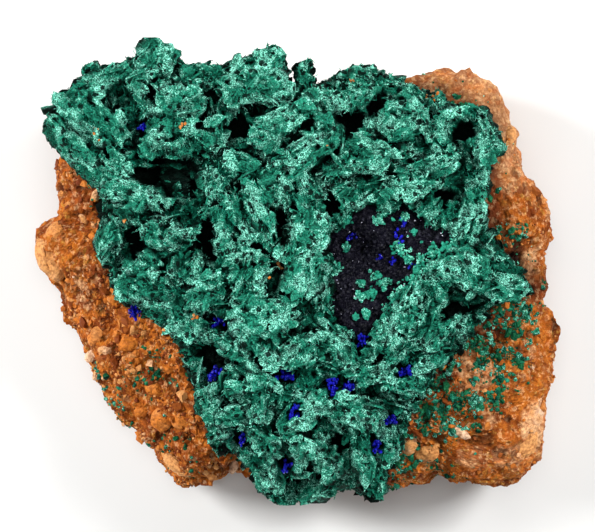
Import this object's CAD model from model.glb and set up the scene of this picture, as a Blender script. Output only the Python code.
"""The looks of a hand specimen: bladed malachite after azurite on a block of iron-stained gossan.

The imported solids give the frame. Every mineral is then built as a fine mesh from formulas on numpy
grids, in the same places, and dressed with procedural finishes. Tables hold millimetres and degrees.
"""

import logging
import math
from dataclasses import dataclass, field
from enum import Enum
from typing import Sequence

import bpy
import numpy as np
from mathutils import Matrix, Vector


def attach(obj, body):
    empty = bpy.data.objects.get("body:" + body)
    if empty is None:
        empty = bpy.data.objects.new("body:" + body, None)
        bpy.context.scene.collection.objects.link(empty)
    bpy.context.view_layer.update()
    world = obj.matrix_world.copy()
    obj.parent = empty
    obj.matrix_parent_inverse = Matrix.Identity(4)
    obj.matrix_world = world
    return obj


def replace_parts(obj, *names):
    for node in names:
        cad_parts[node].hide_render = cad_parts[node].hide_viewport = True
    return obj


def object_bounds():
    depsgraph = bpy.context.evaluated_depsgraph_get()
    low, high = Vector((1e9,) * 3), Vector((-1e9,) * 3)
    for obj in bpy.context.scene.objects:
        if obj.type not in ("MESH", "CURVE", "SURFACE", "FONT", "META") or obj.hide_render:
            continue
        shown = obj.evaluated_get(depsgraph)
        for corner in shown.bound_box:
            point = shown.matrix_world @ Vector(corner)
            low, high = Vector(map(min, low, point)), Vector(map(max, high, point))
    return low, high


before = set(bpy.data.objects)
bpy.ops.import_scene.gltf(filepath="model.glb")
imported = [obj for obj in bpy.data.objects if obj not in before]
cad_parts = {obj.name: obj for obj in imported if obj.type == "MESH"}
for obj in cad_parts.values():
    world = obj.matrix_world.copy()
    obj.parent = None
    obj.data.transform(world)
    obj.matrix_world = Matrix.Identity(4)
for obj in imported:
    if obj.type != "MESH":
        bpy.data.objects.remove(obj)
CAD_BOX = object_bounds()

log = logging.getLogger("specimen")

Array = np.ndarray
Colour = tuple[float, float, float]
Socket = bpy.types.NodeSocket
MM = 0.001
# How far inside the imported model's box every point stays.
MARGIN = 0.01
# The move that brings the tables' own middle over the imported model's origin.
TABLE_SHIFT = (-0.826, -0.440, 0.0)
DRUSE_CENTRE = (15.5, 3.0)
# How far the pockets of the azurite clusters sink the crust.
POCKET_SINK = 2.0

# Outlines in plan: x, y.
MATRIX_OUTLINE = (
    (45, -5.5), (44.5, -3.5), (43.5, -1.5), (43, 2), (43, 3.5), (45, 6), (45, 10), (44, 13), (42.5, 15),
    (40.5, 17), (39.5, 19.5), (39, 22), (38.5, 25), (37, 27), (35.5, 30), (34.5, 32), (32, 33),
    (30, 35.5), (28, 34.5), (25.5, 35), (21.5, 33.5), (17, 33), (9.5, 32), (0.5, 31), (-9.5, 32),
    (-20, 33.5), (-28.5, 33.5), (-35.5, 30.5), (-40.5, 25), (-40.5, 21), (-41, 13.5), (-41.5, 10.5),
    (-44, 8.5), (-45, 5), (-44, 2), (-41.5, -0.5), (-40.5, -4), (-39.5, -8), (-38, -11), (-37, -14),
    (-35, -17.5), (-33, -20.5), (-30.5, -23), (-28, -26.5), (-24.5, -31), (-22.5, -34), (-20, -36.5),
    (-15.5, -36.5), (-13, -36), (-10.5, -34), (-7.5, -35.5), (-3.5, -37.5), (6, -37), (13, -36),
    (18, -36.5), (23, -36), (26, -34.5), (28.5, -36), (34.5, -36.5), (40.5, -35), (43, -30.5),
    (43, -26), (45, -20.5), (44.5, -17), (45, -12.5), (44.5, -9.5),
)
CRUST_OUTLINE = (
    (41.5, -2), (39.5, 1), (36.5, 4), (34.5, 6.5), (33, 11.5), (32.5, 14.5), (34, 19), (35.5, 22),
    (34.5, 25), (31.5, 28), (27, 30), (22, 32), (17, 34.5), (13, 36), (9, 35.5), (4.5, 32.5), (2, 35.5),
    (0.5, 31.5), (-1.5, 35.5), (-4, 39.5), (-11, 36.5), (-18.5, 36.5), (-21.5, 39.5), (-25.5, 40),
    (-28, 37), (-33, 36.5), (-36.5, 34), (-41.5, 30), (-43.5, 25), (-40.5, 22), (-35, 16.5),
    (-33, 13.5), (-32.5, 6), (-31.5, 0), (-29.5, -4.5), (-25, -7), (-20.5, -10), (-18.5, -14.5),
    (-16, -21), (-14.5, -27.5), (-13, -31.5), (-9, -31), (-7, -34.5), (-4.5, -38.5), (-1, -40.5),
    (4, -39), (9.5, -37), (14, -39), (16.5, -36), (17, -31.5), (20, -25), (22.5, -20.5), (25, -16),
    (30, -11), (33, -6.5), (37, -4),
)
DRUSE_OUTLINE = (
    (29.5, 6), (27.5, 4.5), (24, 2), (22, -1), (18.5, -3.5), (16, -7), (13, -10), (9.5, -10), (7, -8),
    (6.5, -4.5), (7, 0), (7, 3.5), (6, 6.5), (8.5, 8.5), (11, 11), (13, 13), (15, 11), (17, 11),
    (19, 12.5), (21, 11.5), (23, 9), (26.5, 8),
)
# Bearing, height of the block's rim, how flat its table stays before the rim, how far relief widens it.
RIM = (
    (0, 16, 5, 0.4), (45, 17.5, 5, 1.5), (90, 15, 3, 0.8), (135, 13, 3, 0.4), (180, 10, 2.8, 0.2),
    (225, 9, 2.4, 0.2), (270, 12, 3, 0.3), (315, 15, 5, 0.6),
)
# Bearing, height of the crust's underside.
UNDERSIDE = (
    (0, 19), (60, 18.5), (120, 18), (180, 17), (235, 15), (262, 9), (290, 9), (315, 19),
)
# Tablets: x, y, lift above the crust, length, width, thickness, heading, roll, pitch.
PLATES = (
    # upper left fan
    (-32.5, 26, 3, 15, 4.5, 3, -47, 12, 4), (-37, 26.5, 2, 11, 2, 2.5, -43, 45, 5),
    (-38, 23, 1, 13, 2, 2.5, -44, 50, 5), (-36, 21, 0, 14, 2.5, 2.5, -46, -30, 6),
    (-34, 33, 1.5, 13, 3, 3, 27, -25, 0), (-29, 30, -1.5, 7, 1.5, 1.5, -80, 60, 0),
    (-26, 31, 0, 5, 2, 2, -58, 35, -8), (-30.5, 19.5, 0.5, 6, 3, 2.5, -50, 15, 0),
    # head edge
    (-34.5, 35, 0, 3, 3, 1.5, 30, 10, 10), (-24, 37, 2, 8.5, 7, 2, 70, -12, 8),
    (-25.5, 34, 2.5, 6, 3.5, 3, 10, -30, 0), (-19, 30, 3.5, 8.5, 5, 3, -6, -18, 0),
    (-15.5, 35, 1, 7, 4, 3, -5, -25, 0), (-6.5, 36, 3, 10.5, 4.5, 2, 18, -15, 5),
    (-2, 37, 1, 6, 2.5, 2, -65, -40, 0), (-6, 32, 4, 11.5, 5.5, 4, -6, -10, 0),
    (2.5, 34, 1.5, 6.5, 2.5, 2, 88, 15, 12), (4.5, 30, 2.5, 6, 4, 3, -38, -20, 0),
    (11.5, 34.5, 0.5, 6, 3, 3, 6, -20, 0), (11, 30.5, 3, 7, 4, 3, 16, -25, 0),
    (17, 32.5, 1, 6.5, 4, 3, -20, -20, 0), (21.5, 31, -1, 4.5, 2.5, 2, -35, -20, 0),
    # upper middle
    (-20.5, 26, 2.5, 9.5, 3.5, 3, 2, -20, 0), (-23.5, 22, 2, 6.5, 4, 3, 10, 15, 0),
    (-19, 22, 3, 4, 3, 3, -5, -15, 0), (-12, 26.5, 2.5, 6.5, 2.5, 3, 80, 30, 0),
    (-2.5, 26, 3.5, 11.5, 4.5, 3.5, 31, -12, 0), (-9, 18.5, 1.5, 6.5, 5, 3, -20, 10, 0),
    (-3, 18.5, 2.5, 7, 3, 3, 41, -30, 0), (1.5, 20.5, 3.5, 15, 5.5, 3.5, 35, -14, 0),
    (6, 25, 2.5, 6, 4, 3, -70, 20, 0), (8, 19, 2, 5, 3.5, 3, 10, -10, 0),
    (-15, 22.5, 1.5, 5, 3.5, 3, -30, 10, 0),
    # round plate and right rim
    (18.5, 27, 3.5, 8.5, 7.5, 2.5, 40, -10, 6), (12.5, 20.5, 3.5, 8, 6, 3, -12, -8, 0),
    (25.5, 30, -1, 3.5, 1.5, 2, 85, 20, 10), (27, 27.5, 1, 6, 2, 2.5, 15, -25, 0),
    (24.5, 24.5, 1.5, 4.5, 3, 2.5, -60, 20, 0), (32, 25.7, 0, 7.3, 4, 3, -52, 25, 0),
    (31.8, 22, 1.5, 6.5, 2, 3, -76, 40, 0), (23, 18.5, 3, 11, 3, 3, 21, -20, 0),
    (25.5, 18, 4, 8, 1, 2, 42, 40, 0), (31.5, 16, 1.5, 7, 4, 3, -85, 15, 0),
    (19.5, 15.5, 2, 8.5, 4, 3, 5, -12, 0), (30.5, 9.5, 1, 7.5, 4, 3, 70, -15, 0),
    # left arches
    (-27, 14.5, 2.5, 9.5, 2.5, 3, -6, -35, 0), (-25, 12.5, 3, 7.5, 2.5, 3, -10, 25, 0),
    (-31, 6, 1.5, 8.5, 3.5, 3, 70, 20, 0), (-23.5, 7, 3, 5.5, 4, 3, -20, -15, 0),
    (-25, 2, 1.5, 7, 3, 3, 25, 20, 0), (-18, 7.5, 3.5, 8, 1.5, 3, 12, -40, 0),
    (-18, 3, 0.5, 7, 6, 5, 60, 0, 0), (-13.5, 10, 3, 3.5, 3, 3, 40, 20, 0),
    (-13, 15.5, 2.5, 5, 3.5, 3, -60, -15, 0), (-10.5, 7, 3, 9.5, 4, 3, -66, -20, 0),
    # standing ridges
    (-6, 12, 3, 8.5, 1.5, 2.5, -58, 55, 0), (-6.5, 9.5, 2, 9, 1.5, 2.5, -64, 60, 0),
    (-10, 10, 2.5, 9, 1.5, 2.5, -56, 55, 0), (-1.5, 15, 3, 5, 2.5, 3, -40, -20, 0),
    (3, 13, 2.5, 8, 4.5, 3.5, -60, -15, 0), (2, 6.5, 4, 10.5, 7, 4, 62, -10, 0),
    (1.5, 1, 3, 8, 6, 4, 80, 8, 0), (-7.5, 0, 3.5, 8.5, 6, 3.5, 74, -10, 0),
    (-14.5, -3, 2, 6.5, 4.5, 3.5, 30, 15, 0),
    # lower middle
    (-5, -7, 3.5, 9.5, 6, 4, -5, -6, 0), (-25, -2.5, 1, 10.5, 6, 4, -15, 12, 0),
    (-15.5, -9.5, 1.5, 10.5, 4, 3.5, -22, 10, 0), (-6, -12.5, 3, 9.5, 2, 3, -46, 35, 0),
    (-8.5, -14, 2, 8.5, 1.5, 3, -44, 30, 0), (0.5, -13, 2.5, 8.5, 4.5, 3.5, 40, -15, 0),
    (6.5, -13, 2, 8.5, 5, 3.5, -35, 10, 0),
    # right field
    (19.5, -4.5, 1.5, 8, 5, 3, 85, -10, 0), (24, -8.5, 2, 9.5, 6, 4, 50, -8, 0),
    (29.5, 1.5, 1.5, 9.5, 6.5, 4, -30, -8, 0), (35, -1.5, 0.5, 10.5, 4.5, 3, -10, -10, 0),
    (16.5, -13, 0.5, 6, 2, 3, 62, 10, 0), (18.5, -18.5, 1.5, 6.5, 3, 3, -20, -15, 0),
    (13, -16.5, 1, 7, 4, 3.5, 30, 10, 0), (23, -14, 0.5, 6, 4, 3, 20, -10, 0),
    # lower edge
    (-7.5, -18.5, 4, 9.5, 2, 3, 12, -35, 0), (-6, -22, 4, 6.5, 2, 3, 88, -20, 0),
    (-9.5, -24, 2.5, 4.5, 3, 3, 20, 15, 0), (-13, -22, 1, 7, 3, 3, 85, 30, 0),
    (-6, -28, 3, 7.5, 3, 3, -50, 20, 0), (0, -28.5, 4, 7.5, 2, 3, -12, -40, 0),
    (4, -31, 3, 6, 2, 3, -60, 30, 0), (-5, -33.5, 2.5, 9.5, 4.5, 3.5, -52, 18, 0),
    (-2, -37, 1, 6.5, 4.5, 3.5, -80, -15, 0), (3.5, -36.5, 1.5, 8.5, 4.5, 3.5, 12, -20, 0),
    (7.5, -32, 2.5, 7, 2.5, 3, 60, 25, 0), (12.5, -32.5, 2, 5.5, 3.5, 3, -60, -15, 0),
    (14, -36, 0, 5.5, 3.5, 3, -80, 15, 0), (0.5, -24.5, 2, 7.5, 4.5, 3.5, 20, -10, 0),
    (9, -23, 1.5, 10.5, 5, 3.5, -20, 10, 0), (16.5, -29, 0.5, 7, 4, 3, -75, 15, 0),
)
# Open gaps between the tablets: x, y, two half widths, heading, depth.
GAPS = (
    (-9, 25.5, 2.1, 1.9, 0, 7), (-15.5, 26.5, 0.9, 1.6, 0, 5), (10, 26.5, 1.9, 2.1, 20, 7),
    (14, 29.5, 1, 2.6, -20, 7), (29.5, 24, 2.2, 2.1, 0, 6.5), (26, 13.5, 1.2, 1.4, 45, 5),
    (6.5, 12.5, 1.2, 2.6, -15, 7), (-27, 6, 1.7, 2.9, 0, 7), (-25.5, 17.5, 2.6, 1.4, -20, 7),
    (-23, 20, 1.4, 1, 0, 5), (-16.5, 15.5, 1.2, 2.4, -10, 7), (-14.5, 6.5, 1.6, 3.4, 15, 7),
    (-2.5, 9.5, 1.2, 3.3, 10, 7), (-14.5, -13.5, 2.6, 2.2, 0, 6.5), (28.5, -6, 2.6, 2.4, 0, 6),
    (15, -13.5, 0.9, 3.1, -30, 6), (8, -29, 1.6, 2.2, 0, 6.5), (-2.2, -31.4, 1.5, 0.7, -15, 4),
    (-11.5, -30, 1.4, 1.4, 0, 5), (-30, 30, 0.9, 2.4, 25, 6), (-24.5, 32.5, 1.4, 1.6, 0, 6),
    (-33, 21, 0.7, 1.9, 15, 5),
)
# Shaded hollows with dark green floors: x, y, two half widths, heading, depth.
DEEPS = (
    (-19.5, 16.8, 5.2, 4.6, 0, 2.6), (-18.3, 3.4, 4.3, 3.3, 0, 2.6), (29.3, -5.8, 3.6, 3.4, 0, 2.6),
    (-14.8, -13.4, 3.4, 3, 0, 2.4), (-27.5, 22.5, 2.8, 1.8, 0, 2.2), (29.8, 24.4, 3, 2.4, 0, 2),
    (-2, 8, 1.6, 4.4, 18, 2), (-9.8, 16, 1.4, 2.6, -30, 2), (7.8, 26, 1.8, 1.6, 0, 2.2),
    (-28.5, 31, 1.2, 3.2, 35, 2), (-7, 37, 1.2, 1.6, 60, 1.6), (13, -21, 1.1, 3.4, -20, 1.8),
    (-11.5, 27.5, 1.4, 2.2, 20, 2), (-1.2, -29.9, 2.6, 1.8, 0, 2),
)
# Azurite clusters: x, y, length, width, heading, lift above the floor of its pocket.
CLUSTERS = (
    (-25.5, 25.5, 2, 1.4, 0, 0.6), (-27, -6.3, 2.3, 1.8, 30, 0), (-12.5, -8, 2, 1.6, 0, 0.8),
    (-13.5, -17, 2.8, 1.4, 50, 0.5), (-1.5, -17, 2.8, 1.6, 0, 0.8), (7, -19, 3.2, 1.5, 85, 0.9),
    (9.8, -19, 1.6, 1.4, 20, 0.6), (0.5, -23.5, 3, 1.4, 60, 1.4), (-8.5, -28, 2.4, 1.3, 80, 0.8),
    (-1, -33, 1.6, 1.3, 70, 4), (11.9, -11.3, 2.3, 1.1, 80, 0.1), (19.5, -16.5, 1.8, 1.3, 0, 0.7),
    (17, -25, 1.5, 1.3, 30, 0.4), (14.5, -29.5, 1.6, 1.2, 70, 0.6),
)
# Blue crystals on the druse: x, y, length, width, heading.
DRUSE_CRYSTALS = (
    (19, 9.3, 2, 1.2, 60), (18.3, 6.8, 2.4, 1.6, 80), (10.2, 6.8, 1.6, 1, 20), (14.8, 3.2, 1.6, 1, -30),
    (17.3, 2.6, 1.4, 1, 40), (20.6, 1.6, 1.5, 1, 0),
)
# Pebbles and chips in the gossan: x, y, how far they stand up, three half lengths, heading, tint.
PEBBLES = (
    (-34.6, -10.8, 0.3, 2.1, 1.4, 1.2, 65, 0.58), (-42.9, 3, 0.1, 4.4, 2.3, 2.6, -62, 0.76),
    (-41.2, 7.6, -0.2, 2.6, 1.8, 1.8, 20, 0.6), (-33.4, -13.1, 0.2, 0.9, 0.7, 0.7, 10, 0.9),
    (-35.6, -14.2, 0.2, 1.6, 0.9, 0.7, 35, 0.92), (-34.4, -17.4, 0.2, 1.5, 0.8, 0.6, 50, 0.88),
    (-24.3, -20, 0.2, 1.9, 1.3, 1.1, -30, 0.5), (-28.6, -11.9, 0.2, 1.9, 1.4, 1.2, 20, 0.44),
    (-22.9, -25.2, 0.2, 2.4, 1.9, 1.4, 70, 0.52), (-19.6, -25.6, 0.3, 1.9, 1.5, 1.3, -20, 0.48),
    (-26.5, -24, 0.2, 1.6, 1.1, 0.9, 25, 0.4), (-31, -3.5, 0.2, 2, 1.4, 1, 80, 0.46),
    (-20.4, -33.6, -0.2, 3, 1.4, 1.1, -35, 0.84), (-10.5, -33.8, 0.8, 1.8, 0.8, 1.6, 75, 1),
    (20.9, -28.6, 0.4, 3.2, 1.5, 1.6, 70, 0.82), (24, -31, 0.2, 2.6, 1.6, 1.3, 20, 0.7),
    (29.5, -27.5, 0.1, 1.8, 0.8, 0.7, -25, 0.93), (42, -24.5, -0.9, 4.8, 2, 2.4, 78, 0.9),
    (40.6, -30, -0.6, 3.6, 2.2, 2, 60, 0.78), (37.7, 24.2, -0.5, 2.2, 1.3, 1.6, 62, 0.78),
    (-34.6, 14, 0.1, 1.5, 0.7, 0.8, 60, 0.84), (-36.9, 10.2, 0.1, 1.4, 0.6, 0.7, -50, 0.8),
)
# Tones of the gossan: x, y, two half widths, heading, how pale (above nought) or rusty (below it).
TONES = (
    (36.5, -15.5, 5.5, 8, 0, 0.35), (-36.8, 14.7, 2.9, 5.2, 0, -0.75), (-39.9, 19.7, 1, 2.2, 0, 0.5),
    (-32.8, -2.1, 2.1, 4.2, 30, -0.6), (-36.5, -3, 2.2, 5, 15, 0.2), (-25.5, -17.2, 4, 2.6, -20, 0.2),
    (-22.1, -23.4, 6.4, 3.8, -40, -0.35), (-29, -19.5, 2, 3.4, 35, -0.5),
    (-17.5, -31.5, 3, 3, 0, -0.35), (34.5, 14, 2.4, 7.4, 0, -0.85), (37.8, 24.3, 1.6, 1.6, 0, 0.6),
    (40, 12, 3, 3.6, 20, -0.25), (40.9, 1.7, 2.4, 2.2, 0, 0.6), (43.2, -3.3, 2.4, 2.4, 0, -0.8),
    (34.5, -8.2, 4.2, 3.6, 0, -0.9), (26.3, -18.1, 2, 2.8, 0, -0.8), (31.2, -17.9, 3.2, 3.8, 0, 0.7),
    (37.5, -15.5, 3.4, 3, 0, 0.3), (35.9, -21.9, 2.2, 3.4, 20, -0.15), (41.8, -26.5, 2.2, 5, 0, 0.95),
    (38, -32.1, 4.2, 3.2, 10, 0.35), (20.4, -31, 2.2, 3.6, 20, 0.4), (26.5, -33, 3.6, 2.8, 0, -0.3),
    (16.5, -33.5, 2, 3, 0, -0.7),
)
# Green patches on the bare gossan: node, x, y, two half widths, heading.
PATCHES = (
    ("malachite_patch_right", 37, -12.8, 4.2, 8, -8),
    ("malachite_patch_lower", 27.4, -23.1, 4.8, 4.4, 20),
)


# ---- Formulas on arrays ----


def hashed(cells: Array, seed: int) -> Array:
    """A repeatable share of one for each whole-number cell.

    Formula: the three numbers, each times a large prime, are folded by exclusive or, then mixed.

    Args:
        cells: Whole numbers, three to a cell.
        seed: Picks another set of shares.

    Returns:
        One share from 0 to 1 for each cell.
    """
    whole = cells.astype(np.int64).astype(np.uint64)
    key = whole[..., 0] * np.uint64(73856093)
    key ^= whole[..., 1] * np.uint64(19349663)
    key ^= whole[..., 2] * np.uint64(83492791)
    key += np.uint64(seed * 2654435761)
    for shift in (33, 29, 32):
        key ^= key >> np.uint64(shift)
        key *= np.uint64(0xFF51AFD7ED558CCD)
    return (key >> np.uint64(40)).astype(float) / float(1 << 24)


def noise(points: Array, size: float, seed: int) -> Array:
    """Smooth noise from -1 to 1: corner shares of a cubic lattice, eased between by a quintic.

    Args:
        points: Places, three numbers each.
        size: The lattice's spacing.
        seed: Picks another field.

    Returns:
        One value for each place.
    """
    scaled = points / size
    home = np.floor(scaled)
    part = scaled - home
    eased = part**3 * (part * (part * 6 - 15) + 10)
    total = np.zeros(points.shape[:-1])
    for corner in np.ndindex(2, 2, 2):
        weight = np.prod(np.where(corner, eased, 1 - eased), axis=-1)
        total += weight * hashed(home + corner, seed)
    return total * 2 - 1


def chips(points: Array, size: float, seed: int) -> Array:
    """Relief of broken rock from -1 to 1: space falls into cells, and each cell is one leaning plane.

    Args:
        points: Places, three numbers each.
        size: The cells' spacing.
        seed: Picks another set of cells.

    Returns:
        One height for each place.
    """
    scaled = points / size
    home = np.floor(scaled)
    nearest = np.full(len(points), np.inf)
    relief = np.zeros(len(points))
    for step in np.ndindex(3, 3, 3):
        cell = home + step - 1
        away = scaled - (cell + np.stack([hashed(cell, seed + k) for k in range(3)], -1))
        distance = (away**2).sum(-1)
        closer = distance < nearest
        cell, away = cell[closer], away[closer]
        lean = np.stack([hashed(cell, seed + k) * 2 - 1 for k in (3, 4, 5)], -1)
        relief[closer] = hashed(cell, seed + 6) - 0.5 + (away * lean).sum(-1) * 0.9
        nearest[closer] = distance[closer]
    return np.clip(relief, -1, 1)


def smooth(value: Array, low: float, high: float) -> Array:
    """An S-shaped step from 0 at low to 1 at high: three squares less two cubes."""
    share = np.clip((value - low) / (high - low), 0, 1)
    return share * share * (3 - 2 * share)


def unit(vectors: Array) -> Array:
    """The same directions, each one long."""
    return vectors / np.linalg.norm(vectors, axis=-1, keepdims=True)


def on_plan(x: Array, y: Array) -> Array:
    """Places on the plan as points of no height."""
    return np.stack([x, y, 0 * x], -1)


def around(radius: Array, angle: Array, centre: tuple = (0.0, 0.0)) -> tuple[Array, Array]:
    """Plan places at a distance and a bearing from a centre."""
    return centre[0] + radius * np.cos(angle), centre[1] + radius * np.sin(angle)


def radius_at(outline: Sequence, angle: Array, centre: tuple = (0.0, 0.0)) -> Array:
    """An outline's distance from a centre at each angle, on straight runs between its points.

    Args:
        outline: Plan places round the centre.
        angle: Bearings in radians.
        centre: Where the distances start.

    Returns:
        One distance for each angle.
    """
    away = np.array(outline, float) - centre
    turns = np.arctan2(away[:, 1], away[:, 0])
    order = np.argsort(turns)
    return np.interp(angle, turns[order], np.hypot(*away[order].T), period=2 * math.pi)


def way_out(outline: Sequence, x: Array, y: Array, centre: tuple = (0.0, 0.0)) -> Array:
    """How far out each place lies: 0 at the centre and 1 on the outline."""
    away_x, away_y = x - centre[0], y - centre[1]
    return np.hypot(away_x, away_y) / radius_at(outline, np.arctan2(away_y, away_x), centre)


def by_bearing(table: Sequence, angle: Array, column: int) -> Array:
    """A column of a table of bearings in degrees, read at each angle round the full turn."""
    bearings = [row[0] for row in table]
    return np.interp(np.degrees(angle), bearings, [row[column] for row in table], period=360)


def turn_matrix(heading: Array, roll: Array, pitch: Array) -> Array:
    """Rotations that roll about the length, pitch the far end up, then turn to a heading.

    Args:
        heading: Degrees from +X towards +Y.
        roll: Degrees about the length.
        pitch: Degrees that the far end rises.

    Returns:
        One three by three matrix for each set of angles.
    """
    h, r, p = (np.radians(np.asarray(value, float)) for value in (heading, roll, pitch))
    zero, one = np.zeros_like(h), np.ones_like(h)
    turns = (
        [[np.cos(h), -np.sin(h), zero], [np.sin(h), np.cos(h), zero], [zero, zero, one]],
        [[np.cos(p), zero, -np.sin(p)], [zero, one, zero], [np.sin(p), zero, np.cos(p)]],
        [[one, zero, zero], [zero, np.cos(r), -np.sin(r)], [zero, np.sin(r), np.cos(r)]],
    )
    about_z, about_y, about_x = (np.moveaxis(np.array(turn), (0, 1), (-2, -1)) for turn in turns)
    return about_z @ about_y @ about_x


def crust_level(x: Array, y: Array) -> Array:
    """Height of the crust between its tablets.

    Formula: a dome that falls with the cube of the way out, plus two slow swells, less a bell-shaped
    dish at the druse and a drape that drops past the foot of the block.

    Args:
        x: Places along X.
        y: Places along Y.

    Returns:
        One height for each place.
    """
    dome = 32.5 - 5.0 * np.clip(way_out(CRUST_OUTLINE, x, y), 0, 1) ** 3
    swell = np.sin(x / 3.6 + 0.6) * np.cos(y / 4.2 - 0.4) + 0.5 * np.sin((x + y) / 2.7)
    dish = 1.2 * np.exp(-((np.hypot(x - 18.0, y - 3.0) / 7.0) ** 2))
    drape = 10.0 * np.clip((-25.0 - y) / 15.0, 0, 1) ** 1.5
    return dome + 0.9 * swell - dish - drape


def oval_distance(x: Array, y: Array, row: Sequence) -> Array:
    """How far each place is from an oval's middle, as a share of the oval's half widths.

    Args:
        x: Places along X.
        y: Places along Y.
        row: The oval's middle, its two half widths and its heading.

    Returns:
        One share for each place.
    """
    turn = math.radians(row[4])
    u = (x - row[0]) * math.cos(turn) + (y - row[1]) * math.sin(turn)
    v = -(x - row[0]) * math.sin(turn) + (y - row[1]) * math.cos(turn)
    return np.hypot(u / row[2], v / row[3])


def ragged_ovals(x: Array, y: Array, rows: Sequence, inner: float, outer: float,
                 stray: float = 1.0) -> Array:
    """The greatest worth of some ovals at each place.

    Formula: two sizes of noise move the places, so that the borders come out ragged; an oval's worth
    holds as far as the inner share of its half widths and eases to nothing at the outer one.

    Args:
        x: Places along X.
        y: Places along Y.
        rows: Each oval's middle, half widths, heading and worth.
        inner: Where the easing starts.
        outer: Where it ends.
        stray: How much the noise moves the places.

    Returns:
        One worth for each place.
    """
    flat = on_plan(x, y)
    x, y = (way + stray * (0.85 * noise(flat, 2.3, seed) + 0.5 * noise(flat, 0.9, seed + 1))
            for way, seed in ((x, 201), (y, 203)))
    worth = np.zeros(np.shape(x))
    for row in rows:
        worth = np.maximum(worth, row[5] * (1 - smooth(oval_distance(x, y, row), inner, outer)))
    return worth


def gap_depth(x: Array, y: Array) -> Array:
    """How far the open gaps sink the crust."""
    return ragged_ovals(x, y, GAPS, 0.6, 1.15)


def pocket_depth(x: Array, y: Array) -> Array:
    """How far the pockets of the azurite clusters sink the crust."""
    pockets = [(*row[:2], row[2] / 2 + 0.9, row[3] / 2 + 0.9, row[4], POCKET_SINK) for row in CLUSTERS]
    return ragged_ovals(x, y, pockets, 0.6, 1.25, 0.6)


def deep_sink(x: Array, y: Array) -> Array:
    """How far the shaded hollows of the crust sink it, tablets and all."""
    return ragged_ovals(x, y, DEEPS, 0.5, 1.2)


def druse_share(x: Array, y: Array) -> Array:
    """The way out from the druse's middle, 1 on its outline."""
    return way_out(DRUSE_OUTLINE, x, y, DRUSE_CENTRE)


def druse_hollow(x: Array, y: Array) -> Array:
    """Share of one inside the druse's hollow, with a ragged border."""
    ragged = druse_share(x, y) + 0.10 * noise(on_plan(x, y), 2.4, 71) + 0.07 * noise(on_plan(x, y), 1.0, 72)
    return 1 - smooth(ragged, 0.92, 1.08)


# ---- Meshes from arrays ----


@dataclass
class Draft:
    """Points in millimetres, triangles, and values that vary over the points."""

    points: Array
    faces: Array
    values: dict[str, Array] = field(default_factory=dict)

    def build(self, name: str, finish: bpy.types.Material) -> bpy.types.Object:
        """Makes the mesh object, at the origin, with its place in its mesh.

        Args:
            name: The piece's name.
            finish: Its material.

        Returns:
            The linked object.
        """
        mesh = bpy.data.meshes.new(name)
        places = (self.points + TABLE_SHIFT) * MM
        mesh.vertices.add(len(places))
        mesh.vertices.foreach_set("co", places.astype(np.float32).ravel())
        mesh.loops.add(self.faces.size)
        mesh.loops.foreach_set("vertex_index", self.faces.astype(np.int32).ravel())
        mesh.polygons.add(len(self.faces))
        mesh.polygons.foreach_set("loop_start", np.arange(0, self.faces.size, 3, dtype=np.int32))
        mesh.polygons.foreach_set("use_smooth", np.zeros(len(self.faces), bool))
        mesh.update(calc_edges=True)
        for key, value in self.values.items():
            layer = mesh.attributes.new(key, "FLOAT", "POINT")
            layer.data.foreach_set("value", value.astype(np.float32))
        mesh.materials.append(finish)
        obj = bpy.data.objects.new(name, mesh)
        bpy.context.scene.collection.objects.link(obj)
        log.info("%s: %d triangles", name, len(self.faces))
        return obj


def joined(drafts: Sequence[Draft]) -> Draft:
    """One draft of several, with the values that all of them hold.

    Args:
        drafts: The drafts, in their order.

    Returns:
        The joined draft.
    """
    starts = np.cumsum([0] + [len(draft.points) for draft in drafts[:-1]])
    faces = np.concatenate([draft.faces + start for draft, start in zip(drafts, starts)])
    keys = set.intersection(*[set(draft.values) for draft in drafts])
    values = {key: np.concatenate([draft.values[key] for draft in drafts]) for key in sorted(keys)}
    return Draft(np.concatenate([draft.points for draft in drafts]), faces, values)


def split_quads(*corners: Array) -> Array:
    """Two triangles for each four-cornered face, whose corners come in turn."""
    a, b, c, d = corners
    return np.concatenate([np.stack(three, -1).reshape(-1, 3) for three in ((a, b, c), (a, c, d))])


def capped_rings(rings: int, sides: int) -> Array:
    """Triangles of a closed form: a first pole, rings of points round it, and a last pole.

    The points run pole, ring by ring, pole, and each ring turns from +X towards +Y while the form
    runs from its top down, so the faces look outwards.

    Args:
        rings: How many rings there are.
        sides: How many points a ring has.

    Returns:
        Point numbers, three to a triangle.
    """
    here = np.arange(sides)
    ahead = (here + 1) % sides
    first = np.stack([np.zeros(sides, int), 1 + here, 1 + ahead], -1)
    base = 1 + np.arange(rings - 1)[:, None] * sides
    a, b = base + here, base + ahead
    last_ring = 1 + (rings - 1) * sides
    pole = last_ring + sides
    last = np.stack([np.full(sides, pole), last_ring + ahead, last_ring + here], -1)
    return np.concatenate([first, split_quads(a, a + sides, b + sides, b), last])


def repeated(faces: Array, copies: int, points_each: int) -> Array:
    """The same triangles for a run of copies, each with its own points."""
    starts = np.arange(copies)[:, None, None] * points_each
    return (faces[None] + starts).reshape(-1, 3)


def sheet_faces(count: int) -> Array:
    """Triangles of a square grid of count by count points, facing up when X runs along a row."""
    grid = np.arange(count * count).reshape(count, count)
    return split_quads(grid[:-1, :-1], grid[:-1, 1:], grid[1:, 1:], grid[1:, :-1])


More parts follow.
